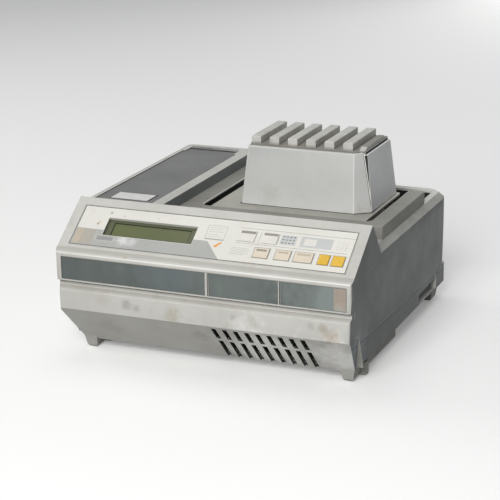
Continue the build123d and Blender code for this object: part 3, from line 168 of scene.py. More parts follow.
def stained(tree, place, stretch, base, shade, grime, smudge, stain, speck, smudge_mm, stain_mm):
    """Base colour, shade where a broad noise peaks, grime where a fine noise peaks and on a few small dots.

    Gives the colour and both noises, because the gloss and the torn edges of dirt are taken from them too.
    """
    drawn = add(tree, "ShaderNodeMapping", {"Vector": place, "Scale": stretch}).outputs["Vector"]
    broad = add(tree, "ShaderNodeTexNoise", {"Vector": drawn, "Scale": 1 / (smudge_mm * MM), "Detail": 5.0,
                                             "Roughness": 0.62})
    broad_mask = add(tree, "ShaderNodeMapRange", {"Value": broad.outputs["Fac"], "From Min": SMUDGE_FROM,
                                                  "From Max": SMUDGE_FULL, "To Max": smudge})
    colour = add(tree, "ShaderNodeMix", {"Factor": broad_mask.outputs["Result"], MIX_A: linear(base),
                                         MIX_B: linear(shade)}, data_type="RGBA").outputs[MIX_OUT]

    small = add(tree, "ShaderNodeTexNoise", {"Vector": drawn, "Scale": 1 / (stain_mm * MM), "Detail": 7.0,
                                             "Roughness": 0.7, "Distortion": 0.7})
    small_mask = add(tree, "ShaderNodeMapRange", {"Value": small.outputs["Fac"], "From Min": STAIN_FROM,
                                                  "From Max": STAIN_FULL, "To Max": stain})
    colour = add(tree, "ShaderNodeMix", {"Factor": small_mask.outputs["Result"], MIX_A: colour,
                                         MIX_B: linear(grime)}, data_type="RGBA").outputs[MIX_OUT]

    dots = add(tree, "ShaderNodeTexVoronoi", {"Vector": place, "Scale": 1 / (SPECK_MM * MM)})
    dots_mask = add(tree, "ShaderNodeMapRange", {"Value": dots.outputs["Distance"], "From Min": SPECK_EDGE,
                                                 "From Max": SPECK_CORE, "To Max": speck})
    few = add(tree, "ShaderNodeMapRange", {"Value": small.outputs["Fac"], "From Min": FEW_FROM,
                                           "From Max": FEW_FULL})
    dots_few = add(tree, "ShaderNodeMath", {0: dots_mask.outputs["Result"], 1: few.outputs["Result"]},
                   operation="MULTIPLY")
    colour = add(tree, "ShaderNodeMix", {"Factor": dots_few.outputs["Value"], MIX_A: colour,
                                         MIX_B: linear(grime)}, data_type="RGBA").outputs[MIX_OUT]
    return colour, broad.outputs["Fac"], small.outputs["Fac"]


# %% [markdown]
# Marks that the object has at one place are a distance to a point. By itself that gives a disc, and no
# stain is one, so each place is first moved by a noise as coarse as the mark, and then measured.

# %% Marks at one place
BLOT_WAVES, BLOT_BEND, BLOT_CORE = 2.2, 1.6, 0.25   # waves per radius, largest shift and solid core in radii
MIDDLE_OF_NOISE = (0.5, 0.5, 0.5)


def marked(tree, place, colour, marks):
    """Covers the colour near each point: none at its radius, full strength within a quarter of it.

    A mark is its point, its radius in mm, its colour and its strength.
    """
    for point, radius_mm, mark_colour, strength in marks:
        radius = radius_mm * MM
        torn = add(tree, "ShaderNodeTexNoise", {"Vector": place, "Scale": BLOT_WAVES / radius, "Detail": 4.0,
                                                "Roughness": 0.65})
        centred = add(tree, "ShaderNodeVectorMath", {0: torn.outputs["Color"], 1: MIDDLE_OF_NOISE},
                      operation="SUBTRACT")
        bent = add(tree, "ShaderNodeVectorMath", {0: centred.outputs["Vector"], "Scale": BLOT_BEND * radius},
                   operation="SCALE")
        moved = add(tree, "ShaderNodeVectorMath", {0: place, 1: bent.outputs["Vector"]}, operation="ADD")
        away = add(tree, "ShaderNodeVectorMath", {0: moved.outputs["Vector"], 1: point}, operation="DISTANCE")
        blot = add(tree, "ShaderNodeMapRange", {"Value": away.outputs["Value"], "From Min": radius,
                                                "From Max": BLOT_CORE * radius, "To Max": strength})
        colour = add(tree, "ShaderNodeMix", {"Factor": blot.outputs["Result"], MIX_A: colour,
                                             MIX_B: linear(mark_colour)}, data_type="RGBA").outputs[MIX_OUT]
    return colour


# %% [markdown]
# Dirt and painted shade also lie in lines, in a groove or under an edge, and a worn lip with a painted
# highlight is a pale line. Such a line is a thin slice of space: the distance along a direction says how far
# up the slice a point lies, and the face's own direction keeps the line on the faces that have it. A noise
# thins it out here and there.

# %% Bands of dirt, wear, painted shade and painted highlight
FACING_FROM, FACING_FULL = 0.80, 0.90    # cosine between a face and the way that the band's faces look
THIN_FROM, THIN_FULL, THINNEST = 0.3, 0.6, 0.75     # noise levels, and the share that is left at the low one


def banded(tree, place, outward, colour, noise, bands):
    """Covers the colour between two distances along a direction, on faces that look the way of facing.

    The strength runs from the first value at the near end to the second at the far end.
    """
    torn = add(tree, "ShaderNodeMapRange", {"Value": noise, "From Min": THIN_FROM, "From Max": THIN_FULL,
                                            "To Min": THINNEST})
    for direction, near, far, band_colour, near_strength, far_strength, facing in bands:
        along = add(tree, "ShaderNodeVectorMath", {0: place, 1: direction}, operation="DOT_PRODUCT")
        inside = add(tree, "ShaderNodeMath", {0: along.outputs["Value"], 1: (near + far) / 2,
                                              2: (far - near) / 2}, operation="COMPARE")
        run = add(tree, "ShaderNodeMapRange", {"Value": along.outputs["Value"], "From Min": near,
                                               "From Max": far, "To Min": near_strength,
                                               "To Max": far_strength})
        seen = add(tree, "ShaderNodeVectorMath", {0: outward, 1: facing}, operation="DOT_PRODUCT")
        looking = add(tree, "ShaderNodeMapRange", {"Value": seen.outputs["Value"], "From Min": FACING_FROM,
                                                   "From Max": FACING_FULL})
        line = inside.outputs["Value"]
        for factor in (run, looking, torn):
            line = add(tree, "ShaderNodeMath", {0: line, 1: factor.outputs["Result"]},
                       operation="MULTIPLY").outputs["Value"]
        colour = add(tree, "ShaderNodeMix", {"Factor": line, MIX_A: colour, MIX_B: linear(band_colour)},
                     data_type="RGBA").outputs[MIX_OUT]
    return colour


# %% [markdown]
# One function puts a used surface together: stains, then marks, then bands, then a tint for faces that look
# to the right. That tint is painted shade: the right side is darker than soft lamps make it, and the tint
# darkens it further. Where a smudge lies the surface is also less smooth, so the same noise drives the
# roughness. A fine noise in the bump gives the slight orange peel of sprayed paint, drawn a little coarser
# than the real one so that it shows.

# %% Aged surface
SMOOTHER, ROUGHER = 0.06, 0.10           # how far the smudges swing the roughness down and up
GLOSS_FROM, GLOSS_FULL = 0.3, 0.75
SIDE_FROM, SIDE_FULL = 0.6, 0.95         # X of a face's direction where the right side starts, and is full


def aged(name, base, shade, grime, roughness, smudge=0.5, stain=0.4, speck=0.5, smudge_mm=60.0,
         stain_mm=26.0, grain_mm=0.9, grain_depth_mm=0.012, metallic=0.0, stretch=(1, 1, 1), marks=(),
         specular=0.5, bands=(), painted_side_shade=None):
    """A used surface: stains, marks and bands over a base colour, gloss that follows, and a fine grain."""
    material, tree = clear_tree(name)
    coordinates = add(tree, "ShaderNodeTexCoord")
    place, outward = coordinates.outputs["Object"], coordinates.outputs["Normal"]
    colour, broad, small = stained(tree, place, stretch, base, shade, grime, smudge, stain, speck, smudge_mm,
                                   stain_mm)
    colour = marked(tree, place, colour, marks)
    if bands:
        colour = banded(tree, place, outward, colour, small, bands)
    # painted shade: a darker tint on faces that look to the right
    if painted_side_shade:
        parts = add(tree, "ShaderNodeSeparateXYZ", {"Vector": outward})
        turned = add(tree, "ShaderNodeMapRange", {"Value": parts.outputs["X"], "From Min": SIDE_FROM,
                                                  "From Max": SIDE_FULL})
        colour = add(tree, "ShaderNodeMix", {"Factor": turned.outputs["Result"], MIX_A: colour,
                                             MIX_B: linear(painted_side_shade)}, data_type="RGBA",
                     blend_type="MULTIPLY").outputs[MIX_OUT]

    gloss = add(tree, "ShaderNodeMapRange", {"Value": broad, "From Min": GLOSS_FROM, "From Max": GLOSS_FULL,
                                             "To Min": roughness - SMOOTHER, "To Max": roughness + ROUGHER})
    grain = add(tree, "ShaderNodeTexNoise", {"Vector": place, "Scale": 1 / (grain_mm * MM), "Detail": 2.0})
    bump = add(tree, "ShaderNodeBump", {"Height": grain.outputs["Fac"], "Distance": grain_depth_mm * MM,
                                        "Strength": 1.0})
    shader = add(tree, "ShaderNodeBsdfPrincipled", {
        "Base Color": colour, "Roughness": gloss.outputs["Result"], "Metallic": metallic,
        "Specular IOR Level": specular, "Normal": bump.outputs["Normal"]})
    add(tree, "ShaderNodeOutputMaterial", {"Surface": shader.outputs["BSDF"]})
    return material


# %% [markdown]
# Marks and bands need places and directions on the case. Places are given in millimetres, with Y counted
# from the front face. The panel is a slanted plane, and its direction comes from a key's travel, since keys
# are pressed straight into it. How far up the slope a point lies is then a distance along panel_up.

# %% Places and directions on the case
UPWARD, FRONT, REAR, RIGHT, LEFT = (0, 0, 1), (0, -1, 0), (0, 1, 0), (1, 0, 0), (-1, 0, 0)
SHOULDER = (0, -0.74, 0.67)              # the slanted shoulder under the windows looks this way
SIDE_LINE = (0, 0.0315, 1)               # the line along the side falls by this share of its length
FILM_TO_EDGE = 13.0 * MM                 # down the slope, from the film to the panel's front edge


def spot(x, y, z):
    """A point given in millimetres on the case, with Y counted from its front face."""
    return (x * MM, cad_box[0][1] + y * MM, z * MM)


def band(direction, start, low_mm, high_mm, colour, low_strength, high_strength, facing):
    """A band from low_mm to high_mm past a start, all counted along its direction."""
    return direction, start + low_mm * MM, start + high_mm * MM, colour, low_strength, high_strength, facing


key_joint = next(joint for joint in frame["joints"] if joint["child"] == "key_yellow_left")
panel_out = -Vector(key_joint["axis"])
panel_up = Vector((0, panel_out.z, -panel_out.y))
PANEL_OUT, PANEL_RISE = tuple(panel_out), tuple(panel_up)
film_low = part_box("panel_overlay")[0]
panel_edge = film_low.y * panel_up.y + film_low.z * panel_up.z - FILM_TO_EDGE
print("the panel slopes at", round(degrees(panel_out.angle(Vector(UPWARD)))), "degrees")

# %% [markdown]
# The case is moulded from rigid foam and sprayed: a warm light grey, half matt, that has yellowed in patches,
# so highlights on it are broad and soft. The marks are where the object has them: brown rub marks on the
# lower band, a spot under the display, places on the skirt that were wiped pale. The groove under the
# windows, the slanted shoulder under that groove and the step that runs along the side are darkened with
# painted shade. Edges wear first and a rounded edge catches light, so pale lines on the shoulder's lip and
# the panel's front edge are wear and painted highlight together, and a pale line above the step along the
# side is a painted highlight. Every rounded edge gets a lighter, slightly glossier version of the same paint,
# for wear and as a painted highlight. The faces that look to the right get a painted shade tint.

# %% Case paint
BROWN, RUST, SOOT = "#8F7A5C", "#9C7B4C", "#6A655B"
# the pale of worn lips with a painted highlight
WEAR_AND_HIGHLIGHT_PALE = "#F4F3EF"
front_marks = [(spot(-90, 1, 131), 4.5, RUST, 0.5), (spot(-89, 1, 74), 9.0, SOOT, 0.36),
               (spot(-77, 1, 71), 6.0, SOOT, 0.33), (spot(-33, 1, 69), 12.0, "#A8A08C", 0.55),
               (spot(144, 1, 75), 8.0, BROWN, 0.42), (spot(154, 1, 65), 12.0, RUST, 0.40),
               (spot(130, 1, 77), 7.0, SOOT, 0.25), (spot(64, 1, 73), 12.0, "#A8A49A", 0.4),
               (spot(-118, 1, 77), 12.0, "#AEAAA0", 0.45), (spot(40, 1, 75), 5.0, SOOT, 0.25)]
skirt_marks = [(spot(-6, 20, 45), 14.0, SOOT, 0.3), (spot(-120, 20, 35), 20.0, "#9D9B93", 0.4),
               (spot(158, 28, 34), 44.0, "#F6F5F1", 0.9), (spot(70, 28, 36), 60.0, "#F6F5F0", 0.8)]
# painted shade in the groove under the windows and on the shoulder under that groove
groove_shade = band(UPWARD, 0, 91.6, 94.6, "#5D574F", 0.9, 0.9, FRONT)
shoulder_shade = band(UPWARD, 0, 84.6, 91.6, "#857D73", 0.25, 0.95, SHOULDER)
# painted highlights, with wear, on the shoulder's lip and on the panel's front edge
shoulder_lip_wear_and_highlight = band(UPWARD, 0, 83.6, 85.4, WEAR_AND_HIGHLIGHT_PALE, 0.85, 0.85, FRONT)
panel_lip_wear_and_highlight = band(PANEL_RISE, panel_edge, -1.6, 1.0, WEAR_AND_HIGHLIGHT_PALE, 0.6, 0.6, PANEL_OUT)
panel_dirt = band(PANEL_RISE, panel_edge, 3.0, 9.0, "#A5A299", 0.5, 0.8, PANEL_OUT)
# painted shade in the step along the side, and a painted highlight on its upper edge
side_seam_shade = band(SIDE_LINE, 0, 43.7, 45.2, "#3A3937", 0.85, 0.85, RIGHT)
side_seam_highlight = band(SIDE_LINE, 0, 45.2, 46.5, "#F4F4F2", 0.8, 0.8, RIGHT)
case_bands = [groove_shade, shoulder_shade, shoulder_lip_wear_and_highlight, panel_lip_wear_and_highlight, panel_dirt, side_seam_shade, side_seam_highlight]
# the tint on faces that look to the right is painted shade
paint_case = aged("painted_foam_case", "#C5C4BE", "#AFADA6", BROWN, 0.46, smudge=0.55, stain=0.22, speck=0.35,
                  marks=front_marks + skirt_marks, specular=0.25, painted_side_shade="#8E9499", bands=case_bands)
# lighter paint for rounded edges: wear and painted highlight together
case_edge_wear_and_highlight = aged("rubbed_and_highlit_case_edge", "#E8E7E3", "#D2D0CA", BROWN, 0.38, smudge=0.4, stain=0.2, speck=0.3,
                  smudge_mm=22.0, stain_mm=14.0, specular=0.3)
print("case paint with", len(front_marks + skirt_marks), "marks and", len(case_bands), "bands")

# %% [markdown]
# The hood has the same kind of paint, a little cooler in tone, and a whiter cover on its right side. Dust
# settles on what lies flat and out of reach, and shade falls between the ribs and on the low rim on the
# right, so these get a darker, browner paint that is nearly matt: dust and painted shade together. The foot
# of each rib gets painted shade: one band on each of a rib's four sides, which fades out upwards.

# %% Hood paints
RIB_SHADE_MM = 4.0
hood_marks = [(spot(139, 178, 159), 9.0, "#A08A78", 0.5), (spot(130, 172, 160), 10.0, "#A59080", 0.45),
              (spot(-2, 166, 173), 5.0, "#B39B7E", 0.4), (spot(16, 168, 167), 16.0, "#A9A69C", 0.4)]
paint_hood = aged("painted_hood_shell", "#C4C5C2", "#B3B3AE", "#978F80", 0.44, smudge=0.5, stain=0.18,
                  speck=0.3, smudge_mm=75.0, marks=hood_marks, specular=0.3)
paint_cover = aged("painted_hood_side_cover", "#EDEFEF", "#DCDDDB", "#A39C8E", 0.44, smudge=0.5, stain=0.15,
                   speck=0.25, specular=0.3)
rib_low, rib_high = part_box("hood_ribs")
# painted shade at the foot of each rib
rib_foot_shade = [band(UPWARD, rib_low.z, 0, RIB_SHADE_MM, "#5F5B53", 0.85, 0.1, side)
            for side in (FRONT, RIGHT, LEFT, REAR)]
paint_ribs = aged("painted_cooling_ribs", "#C6C5BF", "#AFADA6", "#857E70", 0.46, smudge=0.6, stain=0.3,
                  smudge_mm=25.0, specular=0.3, bands=rib_foot_shade)
# dust and painted shade between the ribs
hood_dust_and_shade = aged("dusty_and_shaded_hood_top", "#918F87", "#827F78", "#5F5A50", 0.6, smudge=0.6, stain=0.35,
                 smudge_mm=18.0, specular=0.2)
# dust and painted shade on the low rim, also painted shade on the skirt's tab
rim_dust_and_shade = aged("dusty_and_shaded_rim", "#A3A29C", "#8E8C85", "#78705F", 0.55, smudge=0.6, stain=0.3, smudge_mm=25.0,
                specular=0.2)
print("the ribs are", round((rib_high.z - rib_low.z) / MM, 1), "mm high")

# %% [markdown]
# Round the hood everything is darker. The deck is painted a mid grey that has dulled, the plate in the well
# is aluminium blasted with beads, which scatters its reflection to an even silver grey, and the lid over
# the printer has a smooth dark grey paint. The well under the plate is flat black and stays in shadow.

# %% Deck, plate, lid and well
paint_deck = aged("painted_deck", "#8A8982", "#7A7972", "#77705F", 0.52, smudge=0.6, stain=0.25, speck=0.3,
                  specular=0.25)
# rounded deck and plate edges: wear and painted highlight
deck_edge_wear_and_highlight = aged("rubbed_deck_edge_wear_and_highlight", "#CFCEC8", "#B9B7B0", "#857B66", 0.42, smudge_mm=25.0, stain=0.25)
plate_metal = aged("bead_blasted_aluminium_plate", "#AAA89F", "#94928A", "#6F6A5B", 0.42, metallic=0.25,
                   smudge=0.6, stain=0.3, grain_mm=0.6)
lid_paint = aged("dark_grey_painted_lid", "#686969", "#5B5D5D", "#7B7B78", 0.46, smudge=0.5, stain=0.18,
                 speck=0.25, smudge_mm=90.0, specular=0.3)
# rounded lid edges: wear and painted highlight
lid_edge_wear_and_highlight = aged("rubbed_lid_edge_wear_and_highlight", "#8A8B8A", "#6F7170", "#9A9A96", 0.36, smudge_mm=20.0)
well_black = aged("black_well_paint", "#1B1B1A", "#262523", "#3A3732", 0.6, smudge=0.5, stain=0.3)
print("deck finish:", paint_deck.name, "with edges of", deck_edge_wear_and_highlight.name)

# %% [markdown]
# The three windows are smoked polycarbonate, clouded by age, with streaks that run upright, which a stretched
# noise gives. Broad pale places make them greyer and paler to the right, and these are a painted reflection.
# What could be seen through them is too dim to matter, so they stay opaque. A strip of adhesive tape on the
# right-hand one has yellowed and gone dull.

# %% Windows and tape
UPRIGHT_STREAKS = (1.0, 1.0, 0.35)
# the broad pale marks are a painted reflection; the small ones are spots
window_spots_and_reflection = [(spot(165, 1, 110), 80.0, "#8A928F", 0.8), (spot(40, 1, 110), 70.0, "#727977", 0.6),
                (spot(-40, 1, 122), 45.0, "#70777A", 0.5), (spot(24, 1, 109), 8.0, "#707A70", 0.6),
                (spot(26, 1, 102), 6.0, "#707A70", 0.5), (spot(-94, 1, 116), 8.0, "#6B746E", 0.5)]
window_plastic = aged("smoked_polycarbonate_window", "#5F6664", "#565D5B", "#5A5C54", 0.34, smudge=0.8,
                      stain=0.3, speck=0.4, smudge_mm=34.0, grain_depth_mm=0.004, stretch=UPRIGHT_STREAKS,
                      specular=0.25, marks=window_spots_and_reflection)
tape_brown = aged("yellowed_adhesive_tape", "#A39689", "#978B80", "#8A7765", 0.5, smudge=0.7, stain=0.4,
                  smudge_mm=7.0, stain_mm=8.0, marks=[(spot(163, 1, 97), 8.0, "#A5A39C", 0.9)])
print("window plastic with", len(window_spots_and_reflection), "clouded places")

# %% [markdown]
# The panel's face is a polyester film, smooth with a soft sheen, and a few small brown spots lie on its
# left half. The display sits in an olive frame. The keys are silicone rubber: matt, and each colour has
# aged in its own way. The plate on the lid is a blank card label.

# %% Film, display frame, keys and label
film_marks = [(spot(-129, 51.5, 163.3), 2.0, "#6F6440", 0.85),
              (spot(-140, 37.5, 153.5), 2.0, "#8A6C3C", 0.85),
              (spot(-139, 39.5, 155.0), 3.2, "#B9AC8C", 0.5), (spot(-112, 49, 161.6), 1.4, "#857A62", 0.7),
              (spot(-70, 49.9, 162.2), 1.2, "#857A62", 0.6)]
overlay_film = aged("printed_polyester_overlay", "#DAD8D0", "#CFCDC4", "#B0A690", 0.36, smudge=0.45,
                    stain=0.22, speck=0.5, smudge_mm=70.0, grain_mm=0.5, grain_depth_mm=0.005,
                    marks=film_marks)
display_olive = aged("olive_display_frame", "#52563F", "#4B4F3B", "#434734", 0.45, smudge=0.4, stain=0.2,
                     speck=0.1, grain_depth_mm=0.006)
key_cream = aged("cream_silicone_key", "#D6CBB9", "#CBBEA8", "#AC9C80", 0.5, smudge_mm=12.0, stain=0.25,
                 grain_mm=0.5)
key_yellow = aged("yellow_silicone_key", "#DAB13C", "#CC9F2F", "#A88430", 0.45, smudge_mm=10.0, stain=0.3,
                  grain_mm=0.5)
key_white = aged("white_silicone_key", "#DAD8D0", "#CECBC0", "#B8AD93", 0.45, smudge_mm=14.0, stain=0.25,
                 grain_mm=0.5)
label_card = aged("blank_card_label", "#DADAD8", "#C7C7C5", "#A8A498", 0.5, smudge_mm=18.0, stain=0.3)
print("film with", len(film_marks), "small spots")

# %% [markdown]
# The last group is mostly out of sight, but the other views and the open lid show some of it: moulded rubber
# and ABS, which are matt, felt with a coarse soft grain, an etched copper heater, green laminate, acetal with
# a waxy sheen, and enamel on the motors. One more is no material at all: a nearly black paint that is painted
# shade, for gaps so deep that no light comes back and for the painted shadows round the hood's foot and
# beside the label.

# %% Rubber, felt, boards and plastics
foot_rubber = aged("grey_moulded_rubber_foot", "#ABAAA4", "#92918B", "#6F6A5C", 0.7, smudge_mm=14.0,
                   stain=0.4, grain_mm=0.6, grain_depth_mm=0.03)
# nearly black painted shade
painted_shade_black = aged("shadowed_gap", "#1E1D1B", "#171615", "#2E2B27", 0.8, smudge=0.5, stain=0.3)
black_abs = aged("black_moulded_abs", "#1C1C1D", "#262627", "#3B3A37", 0.5, smudge_mm=20.0, stain=0.3)
dark_rubber = aged("black_neoprene", "#161616", "#202020", "#35332F", 0.75, smudge_mm=15.0)
felt = aged("mineral_felt", "#D8D3C4", "#C3BCA8", "#9C9279", 0.95, grain_mm=1.6, grain_depth_mm=0.25)
heater_film = aged("etched_foil_heater_film", "#B4692B", "#9C5722", "#7C4419", 0.35, smudge_mm=16.0)
laminate = aged("green_glass_laminate", "#2C5A35", "#24492C", "#1B3520", 0.4, smudge_mm=20.0)
acetal = aged("natural_acetal", "#DAD8CC", "#CCC9BB", "#A9A48F", 0.4, smudge_mm=12.0)
motor_enamel = aged("black_motor_enamel", "#202022", "#2B2B2C", "#3C3A36", 0.42, smudge_mm=22.0)
print("last of the painted and moulded finishes:", motor_enamel.name)

# %% [markdown]
# Bare metal differs from paint in kind: its colour is its reflection. Turned and brushed steel has fine
# lines in one direction, which stretch the highlight, so the noise is squeezed along one axis. A metal
# keeps the default IOR, because with metallic at 1 only its colour and roughness matter.

# %% Bare metals
CLOUD_MM, LINE_DEPTH_MM = 30.0, 0.01


def bare_metal(name, base, shade, roughness, line_mm, stretch):
    """Metal with fine tool lines: noise squeezed along one axis drives both roughness and bump."""
    material, tree = clear_tree(name)
    place = add(tree, "ShaderNodeTexCoord").outputs["Object"]
    drawn = add(tree, "ShaderNodeMapping", {"Vector": place, "Scale": stretch}).outputs["Vector"]
    lines = add(tree, "ShaderNodeTexNoise", {"Vector": drawn, "Scale": 1 / (line_mm * MM), "Detail": 3.0})
    broad = add(tree, "ShaderNodeTexNoise", {"Vector": place, "Scale": 1 / (CLOUD_MM * MM), "Detail": 4.0})
    mask = add(tree, "ShaderNodeMapRange", {"Value": broad.outputs["Fac"], "From Min": 0.4, "From Max": 0.65})
    colour = add(tree, "ShaderNodeMix", {"Factor": mask.outputs["Result"], MIX_A: linear(base),
                                         MIX_B: linear(shade)}, data_type="RGBA")
    gloss = add(tree, "ShaderNodeMapRange", {"Value": lines.outputs["Fac"], "To Min": roughness - 0.08,
                                             "To Max": roughness + 0.12})
    bump = add(tree, "ShaderNodeBump", {"Height": lines.outputs["Fac"], "Distance": LINE_DEPTH_MM * MM})
    shader = add(tree, "ShaderNodeBsdfPrincipled", {"Base Color": colour.outputs[MIX_OUT], "Metallic": 1.0,
                                                    "Roughness": gloss.outputs["Result"],
                                                    "Normal": bump.outputs["Normal"]})
    add(tree, "ShaderNodeOutputMaterial", {"Surface": shader.outputs["BSDF"]})
    return material


steel = bare_metal("brushed_steel", "#A9A9A8", "#8F8F8E", 0.32, 0.8, (1, 1, 0.08))
aluminium = bare_metal("mill_finish_aluminium", "#BDBEC0", "#A6A7A9", 0.38, 0.9, (0.08, 1, 1))
bronze = bare_metal("sintered_bronze", "#A67F4B", "#8A6638", 0.45, 0.6, (1, 1, 1))
print("bare metals:", steel.name, aluminium.name, bronze.name)

# %% [markdown]
# The display is a liquid crystal cell: a dull green polariser under glass, with no backlight and nothing
# shown. What the eye gets is a flat olive green, a little darker towards one edge, with a faint reflection.

# %% Display glass
CELL_CLOUD_MM = 26.0


def display_cell(name, near, far, low_x, high_x):
    """Green polariser that darkens along X, under a smooth coat that stands for its glass."""
    material, tree = clear_tree(name)
    place = add(tree, "ShaderNodeTexCoord").outputs["Object"]
    parts = add(tree, "ShaderNodeSeparateXYZ", {"Vector": place})
    across = add(tree, "ShaderNodeMapRange", {"Value": parts.outputs["X"], "From Min": low_x,
                                              "From Max": high_x})
    cloud = add(tree, "ShaderNodeTexNoise", {"Vector": place, "Scale": 1 / (CELL_CLOUD_MM * MM),
                                             "Detail": 3.0})
    blend = add(tree, "ShaderNodeMath", {0: across.outputs["Result"], 1: cloud.outputs["Fac"]},
                operation="MULTIPLY")
    colour = add(tree, "ShaderNodeMix", {"Factor": blend.outputs["Value"], MIX_A: linear(near),
                                         MIX_B: linear(far)}, data_type="RGBA")
    shader = add(tree, "ShaderNodeBsdfPrincipled", {"Base Color": colour.outputs[MIX_OUT], "Roughness": 0.35,
                                                    "Coat Weight": 0.25, "Coat Roughness": 0.08})
    add(tree, "ShaderNodeOutputMaterial", {"Surface": shader.outputs["BSDF"]})
    return material


glass_low, glass_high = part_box("display_glass")
display_green = display_cell("liquid_crystal_cell", "#525A2D", "#484D2C", glass_low.x, glass_high.x)
print("the display is", round((glass_high.x - glass_low.x) / MM, 1), "mm wide")

# %% [markdown]
# Every piece of the frame gets its material by name. The keys share three materials, so they are found by
# how their names begin. A piece with no entry would stop the script here, which is wanted: a forgotten
# piece would show up grey in a view that nobody looked at.

# %% Materials by node
material_of = {
    "upper_case": paint_case, "lower_case": paint_case, "deck": paint_deck, "hood_shell": paint_hood,
    "hood_side_cover": paint_cover, "hood_ribs": paint_ribs, "front_windows": window_plastic,
    "panel_overlay": overlay_film, "display_bezel": display_olive, "display_glass": display_green,
    "panel_boards": laminate, "main_board": laminate, "printer_lid": lid_paint, "lid_plate": label_card,
    "printer_bin": well_black, "well_tray": well_black, "floor_plate": plate_metal,
    "plate_guides": plate_metal, "feet": foot_rubber, "base_skids": foot_rubber, "case_screws": steel,
    "hinge_pins": steel, "tear_bar": steel, "paper_spindle": acetal, "platen_roller": dark_rubber,
    "printer_pinion": acetal, "printer_motor": motor_enamel, "print_head": black_abs, "platform": aluminium,
    "pin_bushes": bronze, "block_insulation": felt, "plate_heater": heater_film, "heating_block": aluminium,
    "drive_crank": steel, "drive_pulley": aluminium, "idler_crank_left": steel,
    "idler_crank_right": steel, "shaft_bearings": steel, "drive_frame": steel,
    "drive_motor": motor_enamel, "motor_pulley": aluminium, "drive_belt": dark_rubber,
    "hood_heater": heater_film, "hood_insulation": felt, "rear_plate": steel, "power_inlet": black_abs,
    "rocker_frame": black_abs, "power_rocker": black_abs, "data_port": steel, "fan_frame": black_abs,
    "fan_rotor": black_abs, "chassis_plate": steel, "power_supply": aluminium,
}
for name, made in (("cream", key_cream), ("yellow", key_yellow), ("white", key_white)):
    material_of.update({node: made for node in frame["nodes"] if node.startswith("key_" + name)})
for name, piece in frame["nodes"].items():
    piece.data.materials.clear()
    piece.data.materials.append(material_of[name])
print(len(frame["nodes"]), "pieces share", len({made.name for made in material_of.values()}), "materials")

# %% [markdown]
# A solid from the frame has knife edges, and no real edge is that sharp: the thin bright line along a moulded
# edge is what makes it read as a thing. The mesh of a frame piece may not change, so a copy of it is merged
# into whole faces and given a Bevel modifier, and the copy stands for the piece. The modifier gives its new
# faces a second material, which is how the lighter edge paint, wear and a painted highlight together, gets
# onto exactly the edges.

# %% Rounded copies
SAME_POINT, SAME_PLANE = 0.002 * MM, radians(1)     # below this, two corners or two faces become one
CORNER_ANGLE = radians(32)                          # a fold sharper than this is an edge of the object


def softened(node, radius_mm, edge_material=None, painted=()):
    """Copy of a frame piece with rounded edges. Painted pairs a test on a face with that face's material."""
    source = frame["nodes"][node]
    mesh = source.data.copy()
    piece = bpy.data.objects.new(node + "_skin", mesh)
    stage_scene.collection.objects.link(piece)
    work = bmesh.new()
    work.from_mesh(mesh)
    bmesh.ops.remove_doubles(work, verts=work.verts, dist=SAME_POINT)
    bmesh.ops.dissolve_limit(work, angle_limit=SAME_PLANE, verts=work.verts, edges=work.edges)
    work.to_mesh(mesh)
    work.free()
    mesh.polygons.foreach_set("use_smooth", np.ones(len(mesh.polygons), bool))
    mesh.set_sharp_from_angle(angle=CORNER_ANGLE)
    if edge_material:
        mesh.materials.append(edge_material)
    for test, paint in painted:
        mesh.materials.append(paint)
        index = len(mesh.materials) - 1
        for face in mesh.polygons:
            if test(face.center, face.normal):
                face.material_index = index
    bevel = piece.modifiers.new("round_edges", "BEVEL")
    bevel.width = radius_mm * MM
    bevel.segments = 2
    bevel.limit_method = "ANGLE"
    bevel.angle_limit = CORNER_ANGLE
    bevel.harden_normals = True
    bevel.material = 1 if edge_material else -1
    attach(piece, source["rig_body"])
    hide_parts(node)


# %% [markdown]
# Some faces get a paint of their own. The recess round the lid, the depth behind the slots of the skirt, the
# gap beside the hood's side cover and that cover's front end lie in deep shadow, and their nearly black paint
# is painted shade. The flat rim and the hood's top between the ribs get dust and painted shade, and the tab
# behind the ends of the skirt gets the rim's paint as painted shade. They could be cut out as pieces, but
# they belong to the same solid, so they only get another material. Each test below takes a face's middle and
# its direction, and says whether the face is one of them.

# %% Faces with painted shade or dust
ROUGHLY, CLOSELY, LEVEL = 0.5, 0.85, 0.9            # how much a face looks along an axis, as a cosine
LID_GAP, LID_REAR_GAP, LID_OVER, RECESS_DEPTH = 1 * MM, 4 * MM, 0.4 * MM, 12 * MM
BEHIND_SKIRT = 0.3 * MM
TAB_FROM_MIDDLE = 160 * MM
COVER_OVERLAP = 8 * MM
RIB_FOOT, RIB_TOP = 1 * MM, 3 * MM
lid_low, lid_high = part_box("printer_lid")
slots_low, slots_high = spot(11, 0, 12), spot(140, 60, 59)
skirt_top, skirt_foot = Vector(spot(0, 1, 61)), Vector(spot(0, 45, 12))
skirt_out = Vector((0, skirt_foot.z - skirt_top.z, skirt_top.y - skirt_foot.y)).normalized()
rim_corner = spot(150, 75, 130)
tab_near, tab_far = spot(0, 34, 0)[1], spot(0, 50, 0)[1]


def in_lid_recess(centre, normal):
    """Walls and floor of the recess that the lid drops into: below the bay's top and round the lid."""
    return (lid_low.x - LID_GAP < centre.x < lid_high.x + LID_GAP
            and lid_low.y - LID_GAP < centre.y < lid_high.y + LID_REAR_GAP
            and lid_low.z - RECESS_DEPTH < centre.z < lid_high.z + LID_OVER)


